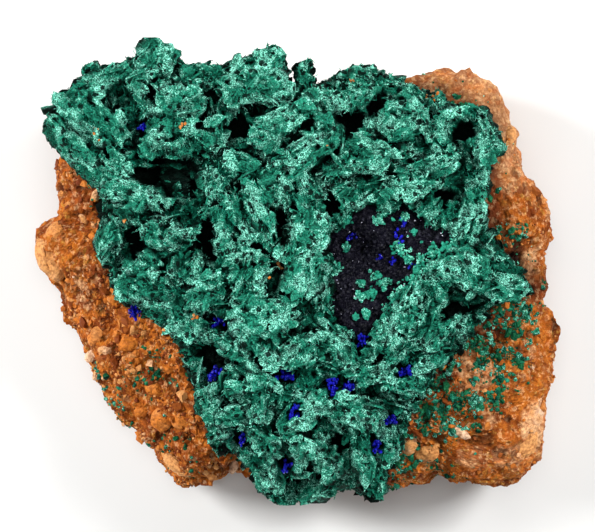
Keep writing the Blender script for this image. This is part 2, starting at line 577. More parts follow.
def disc_grid(count: int) -> tuple[Array, Array]:
    """Spreads a square grid evenly over a disc.

    Formula: nested squares become nested circles. A square's half side is the radius, and the way
    along a side, times an eighth of a turn, is the angle from the side's middle.

    Args:
        count: Points along each side.

    Returns:
        The share of the radius and the angle at each point, row by row.
    """
    line = np.linspace(-1, 1, count)
    a, b = np.meshgrid(line, line)
    wide = np.abs(a) > np.abs(b)
    safe_a = np.where(a == 0, 1, a)
    safe_b = np.where(b == 0, 1, b)
    turn = np.where(wide, math.pi / 4 * b / safe_a, math.pi / 2 - math.pi / 4 * a / safe_b)
    x, y = around(np.where(wide, a, b), turn)
    return np.hypot(x, y).ravel(), np.arctan2(y, x).ravel()


def rim_loop(count: int) -> Array:
    """The square grid's outer points in order, from its first corner along +X and round."""
    grid = np.arange(count * count).reshape(count, count)
    return np.concatenate([grid[0, :-1], grid[:-1, -1], grid[-1, :0:-1], grid[:0:-1, 0]])


def closed_sheet(count: int, top: Array, skirt: Array) -> Draft:
    """A grid sheet closed below by a skirt of rings and a last point.

    Args:
        count: Points along each side of the sheet.
        top: The sheet's points.
        skirt: Rings of points in rim order, from the rim down and inwards.

    Returns:
        The closed draft.
    """
    loop = rim_loop(count)
    sides = len(loop)
    rings = [loop] + [len(top) + k * sides + np.arange(sides) for k in range(len(skirt))]
    faces = [sheet_faces(count)]
    for upper, lower in zip(rings[:-1], rings[1:]):
        faces.append(split_quads(upper, lower, np.roll(lower, -1), np.roll(upper, -1)))
    last = rings[-1]
    pole = np.full(sides, len(top) + len(skirt) * sides)
    faces.append(np.stack([pole, np.roll(last, -1), last], -1))
    points = np.concatenate([top, skirt.reshape(-1, 3), skirt[-1].mean(0, keepdims=True)])
    return Draft(points, np.concatenate(faces))


def point_normals(draft: Draft) -> Array:
    """Outward normals at the points: the faces' cross products, added up and made one long.

    Args:
        draft: The closed form.

    Returns:
        One direction for each point.
    """
    corner = draft.points[draft.faces]
    cross = np.cross(corner[:, 1] - corner[:, 0], corner[:, 2] - corner[:, 0])
    total = np.zeros_like(draft.points)
    for k in range(3):
        for axis in range(3):
            total[:, axis] += np.bincount(draft.faces[:, k], cross[:, axis], len(draft.points))
    return total / np.maximum(np.linalg.norm(total, axis=1, keepdims=True), 1e-12)


def grown(draft: Draft, relief: Array) -> Draft:
    """The draft with each point moved out along its normal by its relief, with the same values."""
    return Draft(draft.points + point_normals(draft) * relief[:, None], draft.faces, draft.values)


def kept_inside(draft: Draft) -> Draft:
    """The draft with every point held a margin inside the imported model's box."""
    low, high = (np.array(corner) / MM - TABLE_SHIFT for corner in CAD_BOX)
    return Draft(np.clip(draft.points, low + MARGIN, high - MARGIN), draft.faces, draft.values)


def placed(draft: Draft, name: str, finish: bpy.types.Material) -> bpy.types.Object:
    """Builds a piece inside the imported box, on the one body and with its slot.

    Args:
        draft: The piece's form.
        name: Its name.
        finish: Its material.

    Returns:
        The piece.
    """
    piece = kept_inside(draft).build(name, finish)
    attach(piece, "root")
    return piece


# ---- Materials ----


class Wiring:
    """A node tree written one node at a time."""

    def __init__(self, tree: bpy.types.NodeTree) -> None:
        """Keeps the tree that the nodes go into."""
        self.tree = tree

    def node(self, kind: str, feeds: dict | None = None, **settings: object) -> bpy.types.Node:
        """Adds a node.

        Args:
            kind: Blender's name for the node's type.
            feeds: A number, a colour or another node's output for each input, by name or number.
            settings: Its own properties.

        Returns:
            The node.
        """
        made = self.tree.nodes.new(kind)
        for key, value in settings.items():
            setattr(made, key, value)
        for key, value in (feeds or {}).items():
            if isinstance(value, Socket):
                self.tree.links.new(value, made.inputs[key])
            else:
                made.inputs[key].default_value = (*value, 1.0) if isinstance(value, tuple) else value
        return made

    def maths(self, operation: str, *values: object) -> Socket:
        """The result of one sum on numbers or outputs."""
        return self.node("ShaderNodeMath", dict(enumerate(values)), operation=operation).outputs[0]

    def blend(self, share: object, first: object, second: object) -> Socket:
        """A mix of two colours by a share."""
        return self.node("ShaderNodeMix", {0: share, 6: first, 7: second}, data_type="RGBA").outputs[2]

    def span(self, value: object, low: float, high: float, start: float = 0.0, end: float = 1.0) -> Socket:
        """A value eased from one range to another, and held at its ends."""
        feeds = {0: value, 1: low, 2: high, 3: start, 4: end}
        return self.node("ShaderNodeMapRange", feeds, interpolation_type="SMOOTHSTEP").outputs[0]

    def scaled(self, vector: object, factor: object) -> Socket:
        """A vector times a number."""
        return self.node("ShaderNodeVectorMath", {0: vector, "Scale": factor}, operation="SCALE").outputs[0]

    def millimetres(self) -> Socket:
        """The place on the object, counted in millimetres."""
        return self.scaled(self.node("ShaderNodeTexCoord").outputs["Object"], 1000.0)

    def lumps(self, vector: object, scale: float, detail: float, rough: float = 0.5,
              twist: float = 0.0) -> bpy.types.Node:
        """Fractal noise, by how many lumps there are to a unit of the vector."""
        feeds = {"Vector": vector, "Scale": scale, "Detail": detail, "Roughness": rough, "Distortion": twist}
        return self.node("ShaderNodeTexNoise", feeds)

    def cloud(self, vector: object, size: float, detail: float = 3.0, rough: float = 0.55) -> Socket:
        """Fractal noise whose largest lumps are about this many millimetres across."""
        return self.lumps(vector, 1.0 / size, detail, rough).outputs[0]

    def cells(self, vector: object, scale: float) -> bpy.types.Node:
        """A pattern of cells, by how many there are to a unit of the vector."""
        return self.node("ShaderNodeTexVoronoi", {"Vector": vector, "Scale": scale})

    def chances(self, cells: bpy.types.Node) -> Sequence:
        """Three numbers by chance for each cell, from the cells' colours."""
        return self.node("ShaderNodeSeparateColor", {0: cells.outputs["Color"]}).outputs

    def value(self, name: str) -> Socket:
        """A value that the mesh holds at its points."""
        return self.node("ShaderNodeAttribute", attribute_name=name).outputs["Fac"]


class Effect(Enum):
    """The shader groups that several finishes share."""

    SUGAR = "sugary_crystals"
    STAIN = "mineral_stain"
    SHELTER = "sheltered_hollow"


class EffectShelf:
    """Builds each shared shader group once and hands it out."""

    def __init__(self) -> None:
        """Starts with nothing built."""
        self.built: dict[Effect, bpy.types.NodeTree] = {}

    def place(self, wiring: Wiring, effect: Effect, **feeds: object) -> bpy.types.Node:
        """Puts a shared group into a material.

        Args:
            wiring: The material's own tree.
            effect: Which group.
            feeds: A value or an output for each of the group's inputs.

        Returns:
            The group's node.
        """
        if effect not in self.built:
            makers = {Effect.SUGAR: self.sugar, Effect.STAIN: self.stain, Effect.SHELTER: self.shelter}
            self.built[effect] = makers[effect]()
        return wiring.node("ShaderNodeGroup", feeds, node_tree=self.built[effect])

    @staticmethod
    def opened(effect: Effect, takes: dict, gives: dict) -> tuple[Wiring, Sequence]:
        """A new empty group.

        Args:
            effect: Names the group.
            takes: Each input's name and kind.
            gives: Each output's name and kind.

        Returns:
            The group's wiring and what comes in by its inputs.
        """
        tree = bpy.data.node_groups.new(effect.value, "ShaderNodeTree")
        for sockets, side in ((takes, "INPUT"), (gives, "OUTPUT")):
            for name, kind in sockets.items():
                tree.interface.new_socket(name, in_out=side, socket_type=f"NodeSocket{kind}")
        wiring = Wiring(tree)
        return wiring, wiring.node("NodeGroupInput").outputs

    def sugar(self) -> bpy.types.NodeTree:
        """Sugary crystals: bright cells and matted strands, with dark seams and round pits between.

        Formula: the strands are thin bands where two twisted noises pass their middle value; the
        pits are balls round the middles of some coarse cells.

        Returns:
            A group that takes a size in millimetres and gives masks of sparkle, seams and pits, and
            a height.
        """
        gives = {"Sparkle": "Float", "Seams": "Float", "Pits": "Float", "Height": "Float"}
        w, given = self.opened(Effect.SUGAR, {"Size": "Float"}, gives)
        scaled = w.scaled(w.millimetres(), w.maths("DIVIDE", 1.0, given["Size"]))
        pushed = w.scaled(w.lumps(scaled, 0.9, 2.0).outputs["Color"], 1.3)
        warped = w.node("ShaderNodeVectorMath", {0: scaled, 1: pushed}, operation="ADD").outputs[0]
        crystal = w.cells(warped, 1.0)
        near = w.span(crystal.outputs["Distance"], 0.12, 0.55, 1.0, 0.0)
        lit = w.maths("MULTIPLY", w.span(w.chances(crystal)[0], 0.55, 0.8), near)
        strands = []
        for vector, scale, width in ((scaled, 0.50, 0.050), (warped, 0.82, 0.060)):
            twisted = w.lumps(vector, scale, 1.0, twist=0.9).outputs[0]
            off = w.maths("ABSOLUTE", w.maths("SUBTRACT", twisted, 0.5))
            strands.append(w.span(off, width * 0.25, width, 1.0, 0.0))
        strand = w.maths("MAXIMUM", strands[0], w.maths("MULTIPLY", strands[1], 0.75))
        fine = w.lumps(scaled, 2.1, 2.0, 0.6).outputs[0]
        broken = w.maths("MULTIPLY", strand, w.span(fine, 0.40, 0.52))
        dust = w.maths("MULTIPLY", w.span(fine, 0.56, 0.68), 0.7)
        sparkle = w.maths("MAXIMUM", w.maths("MAXIMUM", lit, dust), broken)
        gap = w.span(crystal.outputs["Distance"], 0.42, 0.72)
        seams = w.maths("MAXIMUM", gap, w.span(fine, 0.46, 0.33))
        seams = w.maths("MULTIPLY", seams, w.maths("SUBTRACT", 1.0, broken))
        hole = w.cells(warped, 0.29)
        chance = w.chances(hole)
        bound = w.maths("MULTIPLY_ADD", chance[0], 0.26, 0.19)
        ball = w.span(w.maths("SUBTRACT", bound, hole.outputs["Distance"]), -0.02, 0.05)
        pits = w.maths("MULTIPLY", ball, w.span(chance[1], 0.28, 0.33))
        height = w.maths("MULTIPLY_ADD", near, 0.5, w.maths("MULTIPLY", fine, 0.8))
        raised = w.maths("MULTIPLY_ADD", broken, 0.5, height)
        sunk = w.maths("MULTIPLY_ADD", pits, -1.6, raised)
        w.node("NodeGroupOutput", {"Sparkle": sparkle, "Seams": seams, "Pits": pits, "Height": sunk})
        return w.tree

    def stain(self) -> bpy.types.NodeTree:
        """Stain in three colours: two clouds of noise, one sharp and one soft, choose among them.

        Returns:
            A group that takes three colours and a size in millimetres and gives a colour.
        """
        takes = {"First": "Color", "Second": "Color", "Third": "Color", "Size": "Float"}
        w, given = self.opened(Effect.STAIN, takes, {"Colour": "Color"})
        scaled = w.scaled(w.millimetres(), w.maths("DIVIDE", 1.0, given["Size"]))
        broad = w.lumps(scaled, 1.0, 5.0, 0.65).outputs[0]
        fine = w.lumps(scaled, 2.7, 4.0, 0.7).outputs[0]
        first = w.blend(w.span(broad, 0.4, 0.6), given["First"], given["Second"])
        w.node("NodeGroupOutput", {"Colour": w.blend(w.span(fine, 0.52, 0.68), first, given["Third"])})
        return w.tree

    def shelter(self) -> bpy.types.NodeTree:
        """Darkens a colour in hollows by the mesh's own value there.

        Returns:
            A group that takes a colour, a dark and a strength, and gives a colour.
        """
        takes = {"Colour": "Color", "Dark": "Color", "Strength": "Float"}
        w, given = self.opened(Effect.SHELTER, takes, {"Colour": "Color"})
        share = w.maths("MULTIPLY", w.value("hollow"), given["Strength"])
        held = w.node("ShaderNodeClamp", {0: share}).outputs[0]
        w.node("NodeGroupOutput", {"Colour": w.blend(held, given["Colour"], given["Dark"])})
        return w.tree


SHELF = EffectShelf()


@dataclass(frozen=True)
class Finish:
    """What every finish has: a gloss, a bump in millimetres, and a way to paint itself."""

    roughness: float = 0.6
    specular: float = 0.5
    coat: float = 0.0
    bump: float = 0.1
    strength: float = 1.0

    def paint(self, w: Wiring, place: Socket) -> tuple[Socket, Socket | None]:
        """Wires the finish's colour and its height, or no height, over the place in millimetres."""
        raise NotImplementedError

    def build(self, name: str) -> bpy.types.Material:
        """Makes the material.

        Args:
            name: Its name.

        Returns:
            The material.
        """
        material = bpy.data.materials.new(name)
        material.use_nodes = True
        material.node_tree.nodes.clear()
        w = Wiring(material.node_tree)
        colour, height = self.paint(w, w.millimetres())
        shader = w.node("ShaderNodeBsdfPrincipled", {"Base Color": colour})
        shader.inputs["Roughness"].default_value = self.roughness
        shader.inputs["Specular IOR Level"].default_value = self.specular
        shader.inputs["Coat Weight"].default_value = self.coat
        if height is not None:
            feeds = {"Strength": self.strength, "Distance": self.bump * MM, "Height": height}
            w.tree.links.new(w.node("ShaderNodeBump", feeds).outputs[0], shader.inputs["Normal"])
        w.node("ShaderNodeOutputMaterial", {"Surface": shader.outputs[0]})
        return material


@dataclass(frozen=True)
class Velvet(Finish):
    """Drusy malachite: a green that sparkling crystals lighten and seams and hollows darken."""

    specular: float = 0.05
    bump: float = 0.18
    deep: Colour = (0.0006, 0.036, 0.020)
    body: Colour = (0.002, 0.125, 0.072)
    teal: Colour = (0.004, 0.208, 0.130)
    light: Colour = (0.025, 0.310, 0.195)
    pale: Colour = (0.335, 0.920, 0.725)
    dark: Colour = (0.0002, 0.0040, 0.0025)
    grain: float = 0.41
    sparkle: float = 1.0
    seams: float = 0.70
    pits: float = 0.95

    def paint(self, w: Wiring, place: Socket) -> tuple[Socket, Socket]:
        """Wires the green, its frost and its shade.

        Args:
            w: The material's wiring.
            place: The place on the object in millimetres.

        Returns:
            The colour and the crystals' height.
        """
        sugar = SHELF.place(w, Effect.SUGAR, Size=self.grain).outputs
        stain = SHELF.place(w, Effect.STAIN, First=self.deep, Second=self.body, Third=self.teal, Size=2.2)
        seams = w.maths("MULTIPLY", sugar["Seams"], self.seams)
        dense = w.span(w.cloud(place, 3.0, 4.0, 0.6), 0.42, 0.62, 0.16, 1.0)
        lit = w.maths("MULTIPLY", sugar["Sparkle"], w.maths("MULTIPLY", dense, self.sparkle))
        share = w.maths("MULTIPLY_ADD", w.value("edge"), 0.46, lit)
        veiled = w.blend(w.span(share, 0.06, 0.62), stain.outputs[0], self.light)
        seamed = w.blend(seams, veiled, self.dark)
        frosted = w.blend(w.span(share, 0.50, 0.86), seamed, self.pale)
        holed = w.blend(w.maths("MULTIPLY", sugar["Pits"], self.pits), frosted, self.dark)
        shaded = SHELF.place(w, Effect.SHELTER, Colour=holed, Dark=self.dark, Strength=1.35)
        return shaded.outputs[0], sugar["Height"]


@dataclass(frozen=True)
class Ironstone(Finish):
    """Iron-stained rock in rust, orange and ochre: paler where the mesh is worn, darker where rusty."""

    roughness: float = 0.7
    specular: float = 0.1
    bump: float = 0.26
    rust: Colour = (0.170, 0.034, 0.005)
    orange: Colour = (0.560, 0.160, 0.015)
    ochre: Colour = (0.500, 0.240, 0.040)
    cream: Colour = (0.760, 0.440, 0.215)
    ruddy: Colour = (0.400, 0.075, 0.008)
    dark: Colour = (0.015, 0.004, 0.002)

    def paint(self, w: Wiring, place: Socket) -> tuple[Socket, Socket]:
        """Wires the stains from the broadest to the finest.

        Args:
            w: The material's wiring.
            place: The place on the object in millimetres.

        Returns:
            The colour and the grit's height.
        """
        stain = SHELF.place(w, Effect.STAIN, First=self.rust, Second=self.orange, Third=self.ochre, Size=3.4)
        broad = w.span(w.cloud(place, 9.0, 3.0), 0.50, 0.64, 0.0, 0.55)
        rusted = w.blend(w.maths("MAXIMUM", broad, w.value("rusty")), stain.outputs[0], self.rust)
        patch = w.maths("ADD", w.value("worn"), w.span(w.cloud(place, 4.5, 4.0), 0.50, 0.72, 0.0, 0.6))
        paled = w.blend(w.span(patch, 0.25, 1.15), rusted, self.cream)
        sandy = w.blend(w.span(w.cloud(place, 1.1, 3.0, 0.65), 0.53, 0.61, 0.0, 0.42), paled, self.cream)
        ruddy = w.blend(w.span(w.cloud(place, 1.7, 3.0, 0.65), 0.53, 0.62, 0.0, 0.45), sandy, self.ruddy)
        speck = w.span(w.cloud(place, 0.55, 3.0, 0.7), 0.35, 0.62)
        grained = w.blend(w.maths("MULTIPLY_ADD", speck, -0.60, 0.60), ruddy, self.rust)
        shaded = SHELF.place(w, Effect.SHELTER, Colour=grained, Dark=self.dark, Strength=1.0)
        grit = w.cells(place, 1.0 / 0.7).outputs["Distance"]
        return shaded.outputs[0], w.maths("MULTIPLY_ADD", grit, -0.5, w.cloud(place, 0.6, 5.0, 0.7))


@dataclass(frozen=True)
class Grains(Finish):
    """Loose grains: each keeps its own tint, from rust through orange to cream."""

    specular: float = 0.15
    bump: float = 0.12
    rust: Colour = (0.150, 0.028, 0.005)
    orange: Colour = (0.540, 0.160, 0.018)
    peach: Colour = (0.640, 0.300, 0.100)
    cream: Colour = (0.740, 0.500, 0.330)
    dark: Colour = (0.03, 0.008, 0.004)

    def paint(self, w: Wiring, place: Socket) -> tuple[Socket, Socket]:
        """Wires the tints and a rusty mottling.

        Args:
            w: The material's wiring.
            place: The place on the object in millimetres.

        Returns:
            The colour and the height.
        """
        tint, colour = w.value("tint"), self.rust
        for low, high, paler in ((0.0, 0.45, self.orange), (0.45, 0.8, self.peach), (0.8, 1.0, self.cream)):
            colour = w.blend(w.span(tint, low, high), colour, paler)
        mottled = w.blend(w.span(w.cloud(place, 0.5, 3.0), 0.35, 0.6, 0.5, 0.0), colour, self.rust)
        shaded = SHELF.place(w, Effect.SHELTER, Colour=mottled, Dark=self.dark, Strength=1.0)
        return shaded.outputs[0], w.cloud(place, 0.4, 4.0, 0.7)


@dataclass(frozen=True)
class Gloss(Finish):
    """Glassy crystal: one strong colour that deepens in patches, with bright polished faces."""

    roughness: float = 0.16
    coat: float = 0.4
    bump: float = 0.05
    strength: float = 0.5
    light: Colour = (0.014, 0.016, 0.440)
    heavy: Colour = (0.004, 0.003, 0.200)
    patch: float = 0.7

    def paint(self, w: Wiring, place: Socket) -> tuple[Socket, Socket]:
        """Wires the patches' colour and the faces' height."""
        share = w.span(w.cloud(place, self.patch), 0.35, 0.65)
        return w.blend(share, self.heavy, self.light), w.cloud(place, 0.3, 2.0)


@dataclass(frozen=True)
class DruseSkin(Finish):
    """A skin of tiny dark crystals: near-black violet with grey faces."""

    roughness: float = 0.42
    specular: float = 0.07
    bump: float = 0.14
    black: Colour = (0.0008, 0.0010, 0.0028)
    violet: Colour = (0.0042, 0.0038, 0.0085)
    grey: Colour = (0.045, 0.045, 0.062)

    def paint(self, w: Wiring, place: Socket) -> tuple[Socket, Socket]:
        """Wires the dark stain and the glints of single crystals.

        Args:
            w: The material's wiring.
            place: The place on the object in millimetres.

        Returns:
            The colour and the crystals' height.
        """
        colours = {"First": self.black, "Second": self.violet, "Third": self.violet}
        stain = SHELF.place(w, Effect.STAIN, **colours, Size=2.0)
        facet = w.cells(place, 1.0 / 0.38)
        glint = w.span(w.chances(facet)[0], 0.8, 1.0, 0.0, 0.4)
        return w.blend(glint, stain.outputs[0], self.grey), facet.outputs["Distance"]


@dataclass(frozen=True)
class Plain(Finish):
    """Studio board: pale, matt, with the faintest unevenness."""

    roughness: float = 0.85
    colour: Colour = (0.70, 0.70, 0.69)

    def paint(self, w: Wiring, place: Socket) -> tuple[Socket, None]:
        """Wires the uneven colour, with no height."""
        dimmed = tuple(value * 0.97 for value in self.colour)
        return w.blend(w.cloud(place, 60.0, 2.0), dimmed, self.colour), None


# ---- Shapes that several pieces share ----


def grain_form() -> tuple[Array, Array]:
    """The twelve points and twenty triangles of a regular solid, one across its radius.

    Returns:
        Points and triangles.
    """
    gold = (1 + math.sqrt(5)) / 2
    flat = [(-1, gold), (1, gold), (-1, -gold), (1, -gold)]
    points = [(a, b, 0) for a, b in flat] + [(0, a, b) for a, b in flat] + [(b, 0, a) for a, b in flat]
    faces = (
        (0, 11, 5), (0, 5, 1), (0, 1, 7), (0, 7, 10), (0, 10, 11), (1, 5, 9), (5, 11, 4),
        (11, 10, 2), (10, 7, 6), (7, 1, 8), (3, 9, 4), (3, 4, 2), (3, 2, 6), (3, 6, 8), (3, 8, 9),
        (4, 9, 5), (2, 4, 11), (6, 2, 10), (8, 6, 7), (9, 8, 1),
    )
    return np.array(points, float) / math.hypot(1, gold), np.array(faces)


def grain_field(centres: Array, sizes: Array, seed: int, uneven: float = 0.3) -> Draft:
    """Many small grains: each is the regular solid, stretched three ways, turned and dented.

    Args:
        centres: Where the grains lie.
        sizes: Their radii.
        seed: Picks another set of stretches.
        uneven: How far a grain's points stray from round.

    Returns:
        The grains, each with its own share of one in the value tint.
    """
    form, faces = grain_form()
    count = len(centres)
    rng = np.random.default_rng(seed)
    stretch = rng.uniform(0.65, 1.3, (count, 1, 3)) * sizes[:, None, None]
    dents = 1 + rng.uniform(-uneven, uneven, (count, len(form), 1))
    turns = turn_matrix(rng.uniform(0, 360, count), rng.uniform(0, 360, count), rng.uniform(-90, 90, count))
    points = np.einsum("nij,nkj->nki", turns, form[None] * stretch * dents) + centres[:, None]
    tint = np.repeat(rng.uniform(0, 1, count), len(form))
    return Draft(points.reshape(-1, 3), repeated(faces, count, len(form)), {"tint": tint})


def prism_field(feet: Array, along: Array, lengths: Array, widths: Array, spins: Array) -> Draft:
    """Many six-sided prisms with wedge heads: rings up a slanted axis, drawn in at both ends.

    Args:
        feet: Where the prisms start.
        along: The direction each one grows in, one long.
        lengths: How far each grows.
        widths: Each one's half width.
        spins: A turn about its own axis, in degrees.

    Returns:
        The prisms.
    """
    count, sides = len(feet), 6
    helper = np.where(np.abs(along[:, 2:3]) < 0.9, np.array([[0.0, 0, 1]]), np.array([[1.0, 0, 0]]))
    across = unit(np.cross(helper, along))
    third = np.cross(along, across)
    turn = np.linspace(0, 2 * math.pi, sides, endpoint=False)[None] + np.radians(spins)[:, None]
    heights = np.array([0.90, 0.74, 0.1])
    spread = np.array([0.42, 1.0, 0.9])
    round_x = np.cos(turn) * widths[:, None]
    round_y = np.sin(turn) * widths[:, None] * 0.8
    ring = round_x[..., None] * across[:, None] + round_y[..., None] * third[:, None]
    middles = feet[:, None] + along[:, None] * (heights[None, :, None] * lengths[:, None, None])
    rings = ring[:, None] * spread[None, :, None, None] + middles[:, :, None]
    top = feet + along * lengths[:, None]
    points = np.concatenate([top[:, None], rings.reshape(count, -1, 3), feet[:, None]], 1)
    return Draft(points.reshape(-1, 3), repeated(capped_rings(len(heights), sides), count, points.shape[1]))


def spray(foot: Array, length: float, width: float, heading: float, tall: float, count: int,
          seed: int) -> Draft:
    """A spray of prisms over an oval: those in the middle stand and those outside lean away.

    Args:
        foot: The oval's middle.
        length: Its long width.
        width: Its short width.
        heading: Degrees from +X to its long side.
        tall: How long the tallest prism is.
        count: How many prisms.
        seed: Picks another set.

    Returns:
        The prisms.
    """
    rng = np.random.default_rng(seed)
    turn = np.radians(heading)
    along, across = rng.uniform(-0.40, 0.40, (2, count))
    place = np.stack([along * length, across * width], -1)
    turned_place = place @ np.array([[np.cos(turn), np.sin(turn)], [-np.sin(turn), np.cos(turn)]])
    feet = foot + np.concatenate([turned_place, np.zeros((count, 1))], 1)
    tilt = turned_place * 0.2 + rng.normal(0, 0.17, (count, 2))
    lean = unit(np.concatenate([tilt, np.ones((count, 1))], 1))
    thick = rng.uniform(0.22, 0.42, count) * min(1.0, width / 1.3)
    return prism_field(feet, lean, rng.uniform(0.55, 1.0, count) * tall, thick, rng.uniform(0, 60, count))


@dataclass
class SkinMap:
    """The height of the specimen's upper skin over a fine plan grid."""

    cell: float = 0.3
    half: float = 50.0
    nothing: float = -99.0

    def __post_init__(self) -> None:
        """Starts with nothing over any cell."""
        count = int(2 * self.half / self.cell)
        self.top = np.full((count, count), self.nothing)

    def indices(self, points: Array) -> tuple[Array, Array]:
        """The plan cell that each point falls in."""
        cells = np.clip(((points[:, :2] + self.half) / self.cell).astype(int), 0, len(self.top) - 1)
        return cells[:, 0], cells[:, 1]

    def lay(self, draft: Draft) -> None:
        """Raises the map to the draft's points: each cell keeps the highest that falls in it."""
        np.maximum.at(self.top, self.indices(draft.points), draft.points[:, 2])

    def shows(self, points: Array, within: float) -> Array:
        """Whether each point lies within a distance of the skin above it."""
        return points[:, 2] > self.height(points) - within

    def height(self, points: Array) -> Array:
        """The skin's height over each point."""
        return self.top[self.indices(points)]

    def soften(self, spread: float) -> Array:
        """The skin's mean height round each cell.

        Formula: a bell curve along each axis in turn weighs the heights, and the same bell over the
        cells that hold any divides them.

        Args:
            spread: The bell's width in millimetres.

        Returns:
            Mean heights over the grid.
        """
        steps = np.arange(-int(3 * spread / self.cell), int(3 * spread / self.cell) + 1)
        bell = np.exp(-0.5 * (steps * self.cell / spread) ** 2)
        held = (self.top > 0).astype(float)
        layers = []
        for layer in (np.where(held > 0, self.top, 0.0), held):
            for axis in (0, 1):
                layer = np.apply_along_axis(np.convolve, axis, layer, bell, "same")
            layers.append(layer)
        return layers[0] / np.maximum(layers[1], 1e-6)

    def shade(self, draft: Draft) -> None:
        """Deepens the draft's hollows and pales what stands proud, against the mean skin round it.

        The crust's own outer sides are left open, for nothing shelters them.

        Args:
            draft: Its hollow and edge values change.
        """
        cells = self.indices(draft.points)
        x, y, z = draft.points.T
        fine, broad = self.soften(0.8)[cells] - z, self.soften(2.4)[cells] - z
        low = np.maximum(0.75 * smooth(fine, 0.1, 1.3), 0.85 * smooth(broad, 0.6, 3.0))
        outer = smooth(way_out(CRUST_OUTLINE, x, y), 0.86, 0.95)
        low *= 1 - 0.9 * outer * (1 - smooth(point_normals(draft)[:, 2], 0.25, 0.7))
        proud = 0.35 * smooth(-broad, 0.0, 1.6) + 0.3 * smooth(-fine, 0.0, 0.6)
        draft.values["hollow"] = 1 - (1 - draft.values["hollow"]) * (1 - low)
        draft.values["edge"] = np.clip(draft.values["edge"] * 0.8 + proud, 0, 1) * (1 - 0.7 * low)


# ---- The block ----


